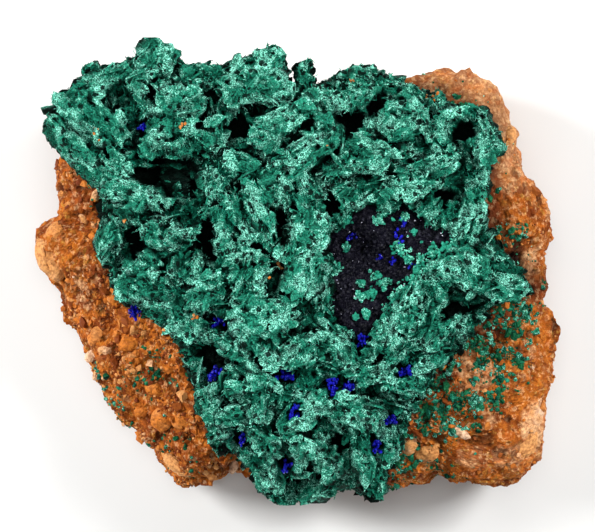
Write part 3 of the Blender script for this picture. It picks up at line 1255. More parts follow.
@dataclass
class GossanBlock:
    """The block of iron-stained rock, the grains that crumble from it, and its pebbles."""

    sides: int = 610
    rings: int = 146
    table_height: float = 23.0
    # Spacing, height and seed of each size of broken planes.
    coarse_chips: tuple = ((9.0, 1.5, 3), (4.2, 1.1, 8))
    fine_chips: tuple = ((1.9, 0.42, 14), (0.95, 0.26, 19))
    crumbs: int = 3200
    # A mean profile for spacing the rings: radius, height of the rim, rise from there to the table.
    mean_profile: tuple = (44.0, 13.5, 9.5)
    # Rings under the crust, by share of the radius, and the share where even rings take over.
    hidden_rings: tuple = (0.08, 0.18, 0.28, 0.36)
    open_from: float = 0.43
    # The power that rounds the table into the rim.
    rounding: float = 1 / 1.7

    def ring_places(self) -> Array:
        """How far along its profile each ring lies: 0 at the middle, 1 on the rim and 2 on the ground.

        Formula: four rings lie under the crust, and from there on the rings keep an even distance
        along a mean profile.

        Returns:
            One place for each ring.
        """
        radius, rim, rise = self.mean_profile
        steps = 4000
        way = np.linspace(0, 2, steps + 1)
        bend = np.clip(way - 1, 0, 1) * math.pi / 2
        far = radius * np.minimum(way, 1) * (0.86 + 0.14 * np.cos(bend))
        fall = np.clip(1 - np.minimum(way, 1) ** 3.5, 0, 1) ** self.rounding
        high = (rim + rise * fall) * (1 - np.sin(bend))
        run = np.concatenate([[0], np.cumsum(np.hypot(np.diff(far), np.diff(high)))])
        first = run[round(self.open_from / 2 * steps)]
        even = np.interp(np.linspace(first, run[-1], self.rings), run, way)
        return np.concatenate([self.hidden_rings, even])

    def side_bearings(self) -> Array:
        """Bearings that split the block's outline into even lengths.

        Returns:
            One bearing for each side, in radians.
        """
        turn = np.linspace(-math.pi, math.pi, 7201)
        x, y = around(radius_at(MATRIX_OUTLINE, turn), turn)
        run = np.concatenate([[0], np.cumsum(np.hypot(np.diff(x), np.diff(y)))])
        return np.interp(np.linspace(0, run[-1], self.sides, endpoint=False), run, turn)

    def bulk(self) -> Draft:
        """The block's skin before its fine relief, ring by ring from its table's middle to its base's.

        Formula: the table falls to the rim as one less a power of the way out; the flank follows a
        quarter sine down while its radius draws in by a cosine; softened broken planes of two sizes
        and slow swells stand out from it, and fade where it meets the ground.

        Returns:
            The closed form.
        """
        way = self.ring_places()
        under = np.array([0.12, 0.4, 0.75])
        reach = np.concatenate([np.minimum(way, 1), np.ones(len(under))])[:, None]
        down = np.concatenate([np.clip(way - 1, 0, 1), np.ones(len(under))])[:, None]
        under = np.concatenate([np.zeros(len(way)), under])[:, None]
        rings = len(reach)
        angle = self.side_bearings()[None]
        rim, flatness = by_bearing(RIM, angle, 1), by_bearing(RIM, angle, 2)
        fall = np.clip(1 - reach**flatness, 0, 1) ** self.rounding
        height = (rim + (self.table_height - rim) * fall) * (1 - np.sin(down * math.pi / 2))
        inset = 0.86 + 0.14 * np.cos(down * math.pi / 2)
        radius = (radius_at(MATRIX_OUTLINE, angle) + by_bearing(RIM, angle, 3)) * reach * inset * (1 - under)
        polar = math.pi / 2 * (0.3 * reach**2 + 0.6 * reach**12 + 0.55 * down)
        away = np.clip(np.cos(polar), 0, None) * 0.8 + 0 * angle
        outward = np.stack([*around(np.sin(polar), angle), away], -1)
        places = np.stack([*around(radius, angle), height], -1).reshape(-1, 3)
        relief = sum(chips(places, size, seed) * tall for size, tall, seed in self.coarse_chips)
        relief = self.softened(relief.reshape(rings, self.sides)).ravel()
        corner = np.exp(-((np.hypot(places[:, 0] - 36, places[:, 1] + 29) / 11) ** 2))
        relief = relief * (1 - 0.4 * corner) + 0.5 * noise(places, 5.2, 31) + 0.4 * noise(places, 2.3, 32)
        fade = np.clip(places[:, 2] / 4.0, 0, 1)
        places += outward.reshape(-1, 3) * (relief * fade)[:, None]
        places[np.repeat(under[:, 0] > 0, self.sides), 2] = 0.0
        share = way_out(CRUST_OUTLINE, places[:, 0], places[:, 1])
        places[:, 2] -= 3.5 * (1 - smooth(share, 0.70, 0.93)) * smooth(places[:, 2], 10, 16)
        points = np.concatenate([[places[: self.sides].mean(0)], places, [[0.0, 0.0, 0.0]]])
        return Draft(points, capped_rings(rings, self.sides))

    def surface(self) -> Draft:
        """The block's skin with sharp planes of two more sizes, pits between, and its tones.

        Returns:
            The closed form, with its hollow, worn and rusty values.
        """
        draft = self.bulk()
        points = draft.points
        calm = 1 - 0.6 * self.rim_share(points)
        pits = 0.75 * smooth(noise(points, 2.6, 33), 0.38, 0.62) * calm
        fine = sum(chips(points, size, seed) * tall for size, tall, seed in self.fine_chips)
        fine = ((fine + 0.16 * noise(points, 0.7, 5)) * calm - pits) * np.clip(points[:, 2] / 1.5, 0, 1)
        draft = grown(draft, fine)
        x, y, z = points.T
        share = way_out(CRUST_OUTLINE, x, y)
        right = smooth(x, 15, 30)
        foot = (0.35 + 0.3 * right) * (1 - smooth(share, 1.0, 1.07 + 0.09 * right))
        draft.values["hollow"] = np.clip(0.7 * smooth(-fine, 0.15, 0.75) + foot * smooth(z, 10, 14), 0, 1)
        draft.values["worn"] = self.wear(draft.points, fine)
        beside = smooth(share, 0.95, 1.0) * (1 - smooth(share, 1.02, 1.08 + 0.1 * right)) * smooth(z, 8, 12)
        rusty = self.toned(draft.points, -1) + (0.35 + 0.3 * right) * beside
        draft.values["rusty"] = np.clip(rusty, 0, 1)
        return draft

    @staticmethod
    def toned(points: Array, sign: int) -> Array:
        """How far each point belongs to the ragged ovals of one tone: 1 for pale and -1 for rusty."""
        rows = [(*row[:5], max(sign * row[5], 0)) for row in TONES]
        return ragged_ovals(points[:, 0], points[:, 1], rows, 0.5, 1.3) * smooth(points[:, 2], 4, 8)

    @staticmethod
    def softened(grid: Array) -> Array:
        """Eases a grid's steps: each value shares with four neighbours each way, twice.

        Args:
            grid: Values by ring and side.

        Returns:
            The eased values.
        """
        for _ in range(2):
            for axis in (0, 1):
                reach = [np.roll(grid, k, axis) * w for k, w in ((-2, 1), (-1, 4), (0, 6), (1, 4), (2, 1))]
                eased = sum(reach) / 16
                grid = eased if axis else np.concatenate([grid[:2], eased[2:-2], grid[-2:]])
        return grid

    @staticmethod
    def rim_share(points: Array) -> Array:
        """How far each point belongs to the smooth pale rim behind and to the right.

        Args:
            points: Places on the rock.

        Returns:
            A share of one for each point.
        """
        bearing = np.degrees(np.arctan2(points[:, 1], points[:, 0]))
        turned = smooth(bearing, 8, 32) * (1 - smooth(bearing, 70, 85))
        return turned * smooth(np.hypot(points[:, 0], points[:, 1]), 30, 37)

    def wear(self, points: Array, fine: Array) -> Array:
        """How pale the rock is: on its smooth rim, borders, front right shoulder and proud chips.

        Args:
            points: Places on the rock.
            fine: How proud each of them stands.

        Returns:
            A share of one for each point.
        """
        x, y = points[:, 0], points[:, 1]
        bearing = np.degrees(np.arctan2(y, x))
        far = np.hypot(x, y)
        share = way_out(MATRIX_OUTLINE, x, y)
        border = smooth(bearing, -45, -30) * (1 - smooth(bearing, 40, 60)) * smooth(share, 0.9, 0.98)
        shoulder = smooth(bearing, -75, -50) * (1 - smooth(bearing, -40, -22)) * smooth(far, 38, 48)
        left = smooth(np.abs(bearing), 165, 178) * smooth(far, 36, 42)
        pale = 0.44 * self.rim_share(points) + 0.22 * border + 0.12 * shoulder + 0.3 * left
        return np.clip(pale + 0.35 * smooth(fine, 0.2, 0.7) + 0.8 * self.toned(points, 1), 0, 1)

    def grains(self, skin: Draft) -> Draft:
        """Crumbs half sunk in the skin, in drifts, most of them on the left flank.

        Args:
            skin: The block's skin.

        Returns:
            The crumbs.
        """
        rng = np.random.default_rng(41)
        x, y, z = skin.points.T
        bearing = np.degrees(np.arctan2(y, x))
        bare = way_out(CRUST_OUTLINE, x, y) > 0.97
        left = smooth(-x, 8, 20) * (z > 6)
        weight = np.where(bare & (z > 1.2), 0.22 + 1.2 * left, 0.0)
        weight *= 1 - 0.75 * self.rim_share(skin.points)
        weight *= np.clip(z / 8, 0.25, 1) * np.where(bearing > 20, 0.6, 1)
        weight *= 0.06 + smooth(noise(skin.points, 3.6, 34), -0.15, 0.4)
        for px, py, _, length, width, *_ in PEBBLES[:3]:
            weight *= smooth(np.hypot(x - px, y - py), 0.5 * (length + width), length + 1.2)
        chosen = rng.choice(len(x), self.crumbs, replace=False, p=weight / weight.sum())
        sizes = rng.gamma(1.8, 0.135, self.crumbs).clip(0.10, 0.95)
        sunk = skin.points[chosen] - point_normals(skin)[chosen] * (sizes * 0.15)[:, None]
        draft = grain_field(sunk, sizes, 43, 0.42)
        tint = draft.values["tint"].reshape(self.crumbs, -1)
        shift = 0.3 * skin.values["worn"][chosen] - 0.3 * skin.values["rusty"][chosen]
        draft.values["tint"] = np.clip(0.06 + tint**1.7 * 0.84 + shift[:, None], 0, 1).ravel()
        return draft

    @staticmethod
    def pebbles(skin: Draft) -> Draft:
        """The larger pebbles and chips: round forms, stretched, turned and chipped.

        Args:
            skin: The block's skin, which they sit in.

        Returns:
            The pebbles.
        """
        drafts = []
        rings, sides = 16, 28
        upper = skin.points[skin.points[:, 2] > 7]
        polar = np.linspace(0, math.pi, rings + 2)[1:-1, None]
        turn = np.linspace(0, 2 * math.pi, sides, endpoint=False)[None]
        ring = np.stack([*around(np.sin(polar), turn), np.cos(polar) + 0 * turn], -1)
        ball = np.concatenate([[[0, 0, 1.0]], ring.reshape(-1, 3), [[0, 0, -1.0]]])
        for number, (x, y, up, *halves, heading, tint) in enumerate(PEBBLES):
            z = upper[np.argmin(np.hypot(upper[:, 0] - x, upper[:, 1] - y)), 2]
            points = (ball * halves) @ turn_matrix(heading, 12, 9).T + (x, y, z + up - 0.5 * halves[2])
            draft = Draft(points, capped_rings(rings, sides))
            rough = 0.07 + 0.13 * min(halves[1], 2.0)
            relief = rough * chips(points, 0.7 + 0.5 * halves[1], 60 + number)
            relief += 0.6 * rough * noise(points, 1.1, 61)
            relief += 0.06 * noise(points, 0.5, 62)
            draft = grown(draft, relief)
            draft.values["tint"] = np.clip(tint + 0.1 * noise(points, 1.2, 63), 0, 1)
            drafts.append(draft)
        return joined(drafts)

    def build(self) -> Draft:
        """Makes the block's pieces.

        Returns:
            The skin's draft, for what stands on it.
        """
        skin = kept_inside(self.surface())
        block = placed(skin, "gossan_block", Ironstone().build("iron_stained_gossan"))
        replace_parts(block, "gossan_matrix")
        crumbs = joined([self.grains(skin), self.pebbles(skin)])
        crumbs.values["hollow"] = np.zeros(len(crumbs.points))
        placed(crumbs, "gossan_crumbs", Grains().build("gossan_grains"))
        return skin


# ---- The green crust ----


def pit_depth(x: Array, y: Array, size: float, share: float, deepest: float, seed: int) -> Array:
    """Small round pits, at most one to a square of the plan.

    Formula: each square hides a middle, a radius and a chance; a pit's floor is flat and its wall is
    an S-shaped step.

    Args:
        x: Places along X.
        y: Places along Y.
        size: The squares' side.
        share: How many of the squares hold a pit.
        deepest: Depth of a floor.
        seed: Picks another set.

    Returns:
        The depth at each place.
    """
    home = np.floor(np.stack([x, y], -1) / size)
    depth = np.zeros(np.shape(x))
    for step in np.ndindex(3, 3):
        cell = np.concatenate([home + step - 1, np.zeros((*home.shape[:-1], 1))], -1)
        middle_x = (cell[..., 0] + 0.2 + 0.6 * hashed(cell, seed)) * size
        middle_y = (cell[..., 1] + 0.2 + 0.6 * hashed(cell, seed + 1)) * size
        radius = size * (0.13 + 0.17 * hashed(cell, seed + 2))
        away = np.hypot(x - middle_x, y - middle_y) / radius
        pit = deepest * (1 - smooth(away, 0.45, 1.1)) * (hashed(cell, seed + 3) < share)
        depth = np.maximum(depth, pit)
    return depth


def drusy_relief(points: Array) -> Array:
    """Sugary relief: broken planes of two sizes and a fine noise, some tenths of a millimetre."""
    return 0.26 * chips(points, 0.95, 81) + 0.16 * chips(points, 0.55, 88) + 0.1 * noise(points, 0.5, 95)


@dataclass
class MalachiteCrust:
    """The green crust: a drusy groundmass, its tablets, small blades between, and matted needles."""

    grid: int = 296
    top_share: float = 0.82
    plate_sides: int = 44
    blades: int = 2900
    side_blades: int = 460
    needles: int = 25000
    # Above the first height the crust is drawn in, and it never gains more than the second.
    tips: tuple = (34.4, 2.0)
    # The lowest that a gap or a hollow goes, and how far the druse's hollow sinks ground and tablets.
    lowest: float = 25.3
    druse_sinks: tuple = (3.3, 4.5)
    # How much of a tablet's own lift and roll in the table it takes.
    lift_share: float = 0.75
    roll_share: float = 1.25
    # Share of a tablet's radius and depth below its face, in its own thickness past the lip.
    face_shares: tuple = (0.10, 0.22, 0.34, 0.46, 0.57, 0.67, 0.76, 0.84, 0.91, 0.965)
    lip: tuple = ((1.0, 0.16), (1.015, 0.45), (1.0, 0.8), (0.95, 1.1))
    root: tuple = ((0.88, 1.5), (0.82, 2.0), (0.77, 2.5))
    foot_shares: tuple = (0.73, 0.69, 0.64)

    def groundmass(self) -> Draft:
        """The crust between its tablets, and its outer side.

        Formula: the crust's level, less gaps, pockets, pits and the druse's hollow, plus lumps of
        two sizes; from the share of the grid that the top takes, the sheet turns down the side to a
        ragged hem, bellies out by a sine and draws in by a square, and three rings close it below.

        Returns:
            The closed form, with its hollow and edge values.
        """
        out, angle = disc_grid(self.grid)
        reach = np.clip(out / self.top_share, 0, 1)
        side = np.clip((out - self.top_share) / (1 - self.top_share), 0, 1)
        x, y = around(radius_at(CRUST_OUTLINE, angle) * reach, angle)
        flat = on_plan(x, y)
        low = by_bearing(UNDERSIDE, angle, 1)
        hollow = druse_hollow(x, y)
        sunk = gap_depth(x, y) + pocket_depth(x, y) + deep_sink(x, y) + pit_depth(x, y, 2.7, 0.6, 1.5, 73)
        lumps = 0.75 * noise(flat, 3.1, 74) + 0.5 * noise(flat, 1.5, 75) - 0.5
        level = crust_level(x, y)
        floor = np.where(y > -24, self.lowest, level - 6.0)
        face = np.maximum(level + (lumps - sunk) * (1 - hollow) - self.druse_sinks[0] * hollow, floor)
        height = low + (np.maximum(face, low + 1) - low) * (1 - 0.25 * reach**14)
        hem = low + 1.3 * noise(flat, 4.6, 76) + 0.7 * noise(flat, 1.9, 77) - 0.3
        height += (np.minimum(hem, height - 1) - height) * side**0.9
        belly = 1 + 0.015 * np.sin(math.pi * side) - 0.06 * side**2
        top = np.stack([x * belly, y * belly, height], -1)
        rim = top[rim_loop(self.grid)]
        skirt = np.array([rim * (share, share, 1) for share in (0.96, 0.6, 0.2)])
        draft = closed_sheet(self.grid, top, skirt)
        extra = len(draft.points) - len(top)
        flank = np.concatenate([smooth(side, 0.0, 0.3), np.zeros(extra)])
        relief = drusy_relief(draft.points)
        relief += flank * (0.8 * noise(draft.points, 2.8, 78) + 0.7 * chips(draft.points, 2.0, 79) - 0.5)
        relief[len(top):] = 0
        draft = grown(draft, relief)
        dark = np.concatenate([smooth(sunk, 0.4, 3.2) * (1 - side), np.full(extra, 0.6)])
        draft.values["hollow"] = np.clip(dark + 0.4 * smooth(-relief, 0.05, 0.3 + 0.7 * flank), 0, 1)
        draft.values["edge"] = 0.7 * smooth(relief, 0.08, 0.4)
        return draft

    def lower_tips(self, draft: Draft) -> None:
        """Draws the draft's highest points in by a hyperbolic tangent.

        Args:
            draft: Its points change.
        """
        start, most = self.tips
        over = np.maximum(draft.points[:, 2] - start, 0)
        draft.points[:, 2] += most * np.tanh(over / most) - over

    def tablets(self) -> Draft:
        """Every tablet of the table, worked out at once.

        Formula: a rounded oblong whose outline strays by a few waves, carried down a profile of
        face, lip and root; the face crowns a little, rises at its border and is ribbed lengthwise;
        then the tablet is rolled, pitched, turned and set on the crust's level.

        Returns:
            The closed tablets, with their hollow and edge values.
        """
        rows = np.array(PLATES)
        count, sides = len(rows), self.plate_sides
        rng = np.random.default_rng(7)
        turn = np.linspace(0, 2 * math.pi, sides, endpoint=False)
        power = rng.uniform(2.3, 4.2, (count, 1))
        radius = (np.abs(np.cos(turn)) ** power + np.abs(np.sin(turn)) ** power) ** (-1 / power)
        for wave in range(2, 9):
            size = rng.uniform(-1, 1, (count, 1)) * 0.16 / wave
            radius = radius * (1 + size * np.cos(wave * turn + rng.uniform(0, 6.28, (count, 1))))
        taper = rng.uniform(-0.28, 0.28, (count, 1))
        long_way = radius * np.cos(turn)
        wide_way = radius * np.sin(turn) * (1 + taper * np.cos(turn))
        face = np.array(self.face_shares)
        edge = np.array(self.lip + self.root)
        shares = np.concatenate([face, edge[:, 0], self.foot_shares])
        lift = rows[:, 2] * self.lift_share
        bottom = np.maximum(rows[:, 5] + np.maximum(lift, 0) + 1.6, 3.6)
        relief = 0.35 * (1 - face**2) + 0.22 * np.exp(-(((face - 0.9) / 0.09) ** 2))
        depths = np.tile(np.concatenate([-relief, edge[:, 1]]), (count, 1))
        last = edge[-1, 1]
        depths = np.concatenate([depths, last + (bottom - last)[:, None] * np.array([0.33, 0.66, 1.0])], 1)
        u = shares[None, :, None] * long_way[:, None] * rows[:, 3, None, None] / 2
        v = shares[None, :, None] * wide_way[:, None] * rows[:, 4, None, None] / 2
        closeness = rng.uniform(3.0, 6.0, (count, 1, 1))
        ribs = np.sin(v * closeness + 0.6 * np.sin(u * 0.9) + power[:, :, None] * 9)
        on_face = (np.arange(len(shares)) < len(face))[None, :, None]
        ribs = (0.08 - 0.24 * (1 - np.abs(ribs)) ** 2) * on_face
        local = np.stack([u, v, -depths[:, :, None] + ribs], -1).reshape(count, -1, 3)
        top = np.tile([[0, 0, 0.35]], (count, 1)).astype(float)
        foot = np.stack([0 * bottom, 0 * bottom, -bottom - 0.4], -1)
        local = np.concatenate([top[:, None], local, foot[:, None]], 1)
        turns = turn_matrix(rows[:, 6], rows[:, 7] * self.roll_share, rows[:, 8])
        middle = np.stack([rows[:, 0], rows[:, 1], crust_level(rows[:, 0], rows[:, 1]) + lift], -1)
        points = (np.einsum("nij,nkj->nki", turns, local) + middle[:, None]).reshape(-1, 3)
        draft = Draft(points, repeated(capped_rings(len(shares), sides), count, local.shape[1]))
        return self.weathered(draft, shares, depths, ribs, bottom)

    def weathered(self, draft: Draft, shares: Array, depths: Array, ribs: Array, bottom: Array) -> Draft:
        """The tablets with sugary relief and pits, sunk over the hollows, and with their shade.

        Args:
            draft: The plain tablets.
            shares: Each ring's share of the radius.
            depths: Each ring's depth below the face, tablet by tablet.
            ribs: The height of the ribs at each point of the rings.
            bottom: Each tablet's depth.

        Returns:
            The closed tablets, with their hollow and edge values.
        """
        points = draft.points
        count, sides = len(bottom), self.plate_sides
        relief = drusy_relief(points) + (0.4 * noise(points, 2.0, 101) + 0.3 * noise(points, 1.0, 102))
        pole = np.zeros((count, 1))
        depth = np.concatenate([pole - 0.3, np.repeat(depths, sides, 1), bottom[:, None]], 1).ravel()
        pits = pit_depth(points[:, 0], points[:, 1], 2.6, 0.5, 1.1, 103) * (depth < 0.5)
        facing = point_normals(draft)[:, 2]
        draft = grown(draft, relief - pits)
        x, y = draft.points[:, 0], draft.points[:, 1]
        hollow = druse_hollow(x, y)
        sunk = (gap_depth(x, y) + deep_sink(x, y) + 0.8 * pocket_depth(x, y)) * (1 - hollow)
        draft.points[:, 2] -= sunk + self.druse_sinks[1] * hollow
        share = np.concatenate([[0], np.repeat(shares, sides), [0]])
        at_edge = np.tile(smooth(share, 0.84, 0.97), count) * (depth < 0.9)
        under = 0.35 * smooth(depth, 0.9, 2.6) + 0.35 * smooth(depth, 2.0, 4.0)
        shade = under * (1 - 0.8 * smooth(facing, 0.0, 0.4))
        shade += smooth(pits, 0.2, 0.8) + 0.78 * smooth(sunk, 0.4, 2.2)
        slits = np.concatenate([pole, ribs.reshape(count, -1), pole], 1)
        shade += 0.7 * smooth(-slits.ravel(), 0.02, 0.2) + 0.4 * smooth(-relief, 0.1, 0.5)
        shade = np.clip(shade, 0, 1)
        draft.values["hollow"] = shade
        draft.values["edge"] = np.clip(0.5 * at_edge + 0.7 * smooth(relief, 0.1, 0.6), 0, 1) * (1 - shade)
        return draft

    def small_blades(self, skin: SkinMap, ground: Draft) -> Draft:
        """Small blades: over the top, each near its tablet's heading, and every way down the sides.

        Args:
            skin: Heights of what the first lot stands on.
            ground: The groundmass, whose sides bear the second lot.

        Returns:
            The blades, with their hollow and edge values.
        """
        rng = np.random.default_rng(17)
        tries = self.blades * 3
        angle = rng.uniform(-math.pi, math.pi, tries)
        x, y = around(radius_at(CRUST_OUTLINE, angle) * np.sqrt(rng.uniform(0, 0.98, tries)), angle)
        height = skin.height(on_plan(x, y))
        clear = (gap_depth(x, y) < 0.5) & (pocket_depth(x, y) < 0.6) & (druse_share(x, y) > 0.98)
        clear &= height > crust_level(x, y) - 4
        x, y, height = (value[clear][: self.blades] for value in (x, y, height))
        count = len(x)
        rows = np.array(PLATES)
        near = np.argmin((x[:, None] - rows[:, 0]) ** 2 + (y[:, None] - rows[:, 1]) ** 2, axis=1)
        base = np.stack([x, y, height + rng.uniform(-0.35, 0.45, count)], -1)
        upright = rng.random(count) < 0.14
        roll = np.where(upright, rng.normal(84, 13, count), rng.normal(0, 42, count))
        turns = turn_matrix(rows[near, 6] + rng.normal(0, 28, count), roll, rng.normal(0, 20, count))
        normal = point_normals(ground)
        out = way_out(CRUST_OUTLINE, ground.points[:, 0], ground.points[:, 1])
        outer = np.flatnonzero((out > 0.93) & (np.abs(normal[:, 2]) < 0.6) & (ground.points[:, 2] > 11))
        chosen = rng.choice(outer, self.side_blades, replace=False)
        facing = unit(normal[chosen] * 0.5 + rng.normal(0, 0.55, (self.side_blades, 3)))
        long_way = unit(np.cross(facing, normal[chosen] * 0.4 + rng.normal(0, 1, (self.side_blades, 3))))
        side_turns = np.stack([long_way, np.cross(facing, long_way), facing], -1)
        base = np.concatenate([base, ground.points[chosen] - normal[chosen] * 0.3])
        upright = np.concatenate([upright, np.zeros(self.side_blades, bool)])
        return self.blade_field(base, np.concatenate([turns, side_turns]), upright, rng)

    @staticmethod
    def blade_field(base: Array, turns: Array, upright: Array, rng: np.random.Generator) -> Draft:
        """Small blades of seven sides: two uneven oblong rings between two low poles.

        Args:
            base: Where the blades lie.
            turns: How each is turned.
            upright: Which of them stand on edge, and are thin.
            rng: Draws their sizes.

        Returns:
            The blades, with their hollow and edge values.
        """
        count, sides = len(base), 7
        length = rng.uniform(1.1, 4.0, count) * np.where(upright, 1.25, 1.0)
        width = np.where(upright, rng.uniform(1.0, 2.1, count), length * rng.uniform(0.22, 0.6, count))
        thick = np.where(upright, 0.32, 1.0)[:, None, None]
        turn = np.linspace(0, 2 * math.pi, sides, endpoint=False)
        bend = 1 + rng.uniform(-0.25, 0.25, (count, 1, sides))
        shares = np.array([1.0, 0.8])[None, :, None]
        u = shares * bend * np.cos(turn) * length[:, None, None] / 2
        v = shares * bend * np.sin(turn) * width[:, None, None] / 2
        w = np.broadcast_to(np.array([0.0, -1.0])[None, :, None], u.shape) * thick
        poles = [np.array([[[0, 0, end]]]) * thick for end in (0.2, -1.7)]
        local = np.concatenate([poles[0], np.stack([u, v, w], -1).reshape(count, -1, 3), poles[1]], 1)
        points = (np.einsum("nij,nkj->nki", turns, local) + base[:, None]).reshape(-1, 3)
        ring = np.concatenate([[0], np.repeat([1, 2], sides), [3]])
        edge = np.array([0.1, 0.9, 0.1, 0.0])[ring][None] * rng.uniform(0.3, 1.0, (count, 1))
        shade = np.array([0.0, 0.0, 0.5, 0.9])[ring][None] * np.where(upright, 0.5, 1.0)[:, None]
        faces = repeated(capped_rings(2, sides), count, local.shape[1])
        return Draft(points, faces, {"edge": edge.ravel(), "hollow": shade.ravel()})

    def needle_mat(self, bases: Sequence[Draft], skin: SkinMap) -> Draft:
        """Short needles matted over all that shows: slim double pyramids of three sides, laid low.

        Args:
            bases: What they grow on.
            skin: Says which of it shows.

        Returns:
            The needles, with their hollow and edge values.
        """
        rng = np.random.default_rng(29)
        base = joined(bases)
        normal = point_normals(base)
        x, y, z = base.points.T
        level = crust_level(x, y)
        open_to_sky = skin.shows(base.points, 0.6) & (normal[:, 2] > 0.05) & (z > level - 2.6)
        outer = (way_out(CRUST_OUTLINE, x, y) > 0.92) & (normal[:, 2] > -0.5) & (z > 10) & (z < level - 1)
        edge, hollow = base.values["edge"], base.values["hollow"]
        weight = (open_to_sky + 0.3 * outer) * (0.12 + edge) * (1 - 0.95 * hollow)
        weight *= 0.10 + smooth(noise(base.points, 2.6, 111), -0.3, 0.35)
        weight *= druse_share(x, y) > 0.93
        count = self.needles
        chosen = rng.choice(len(x), count, replace=False, p=weight / weight.sum())
        normal = normal[chosen]
        stray = rng.normal(0, 1, (count, 3))
        stray -= normal * (stray * normal).sum(1, keepdims=True)
        along = unit(normal * rng.uniform(0.1, 0.6, (count, 1)) + unit(stray) * 0.9)
        length = rng.uniform(0.3, 0.95, count)
        width = rng.uniform(0.06, 0.125, count)
        helper = unit(np.cross(along, rng.normal(0, 1, (count, 3))))
        third = np.cross(along, helper)
        turn = np.radians([0.0, 120.0, 240.0])[None, :, None]
        ring = (np.cos(turn) * helper[:, None] + np.sin(turn) * third[:, None]) * width[:, None, None]
        foot = base.points[chosen] - normal * 0.08
        tip = foot + along * length[:, None]
        waist = foot[:, None] + along[:, None] * (length * 0.45)[:, None, None] + ring
        points = np.concatenate([tip[:, None], waist, foot[:, None]], 1)
        draft = Draft(points.reshape(-1, 3), repeated(capped_rings(1, 3), count, points.shape[1]))
        draft.values["edge"] = np.repeat(rng.uniform(0.2, 1.0, count), points.shape[1])
        draft.values["hollow"] = np.repeat(0.8 * hollow[chosen], points.shape[1])
        return draft

    def build(self) -> SkinMap:
        """Makes the crust's pieces.

        Returns:
            The heights of its upper skin.
        """
        skin = SkinMap()
        ground, tablets = self.groundmass(), self.tablets()
        skin.lay(ground)
        skin.lay(tablets)
        blades = self.small_blades(skin, ground)
        skin.lay(blades)
        for draft in (ground, tablets, blades):
            skin.shade(draft)
            draft.values["hollow"] *= 1 - 0.2 * smooth(deep_sink(*draft.points[:, :2].T), 0.8, 2.5)
            self.lower_tips(draft)
        needles = self.needle_mat([ground, tablets, blades], skin)
        velvet = Velvet().build("malachite_velvet")
        frost = Velvet(body=(0.004, 0.160, 0.100), teal=(0.025, 0.330, 0.240), sparkle=0.9, seams=0.1,
                       pits=0.0, bump=0.04).build("malachite_needles")
        body = placed(ground, "malachite_groundmass", velvet)
        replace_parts(body, "malachite_crust")
        placed(tablets, "malachite_tablets", velvet)
        placed(blades, "malachite_small_blades", velvet)
        placed(needles, "malachite_needle_mat", frost)
        return skin


@dataclass
class GossanFlecks:
    """Flecks of orange rock caught in the green crust."""

    each: int = 7
    # x, y and how far the grains of a fleck stray from its middle.
    spots: tuple = (
        (-2.3, 1.8, 0.5), (-3.7, -0.3, 0.4), (-33.4, 23.3, 0.5), (-19, 25.6, 0.35), (-33.8, 24.9, 0.4),
        (6.2, 22.3, 0.3), (-35.6, -1, 0.5), (-29, 9.4, 0.3), (-16.8, -7.2, 0.35), (10.5, 33.6, 0.4),
        (-25.3, -7.4, 0.6), (-21.8, -9.6, 0.5), (24, 31, 0.6),
    )

    def build(self, skin: SkinMap) -> None:
        """Makes the flecks: heaps of small grains laid on the crust.

        Args:
            skin: Heights of the crust.
        """
        rng = np.random.default_rng(184)
        spots = np.array(self.spots)
        stray = rng.normal(0, 1, (len(spots), self.each, 2)) * spots[:, None, 2:3] * 0.7
        plan = (spots[:, None, :2] + stray).reshape(-1, 2)
        height = skin.height(plan)
        plan, height = plan[height > 10], height[height > 10]
        draft = grain_field(np.column_stack([plan, height]), rng.uniform(0.14, 0.36, len(plan)), 182)
        draft.values["tint"] = 0.35 + 0.5 * draft.values["tint"]
        draft.values["hollow"] = 0 * draft.values["tint"]
        placed(draft, "gossan_flecks", Grains().build("gossan_fleck_grains"))


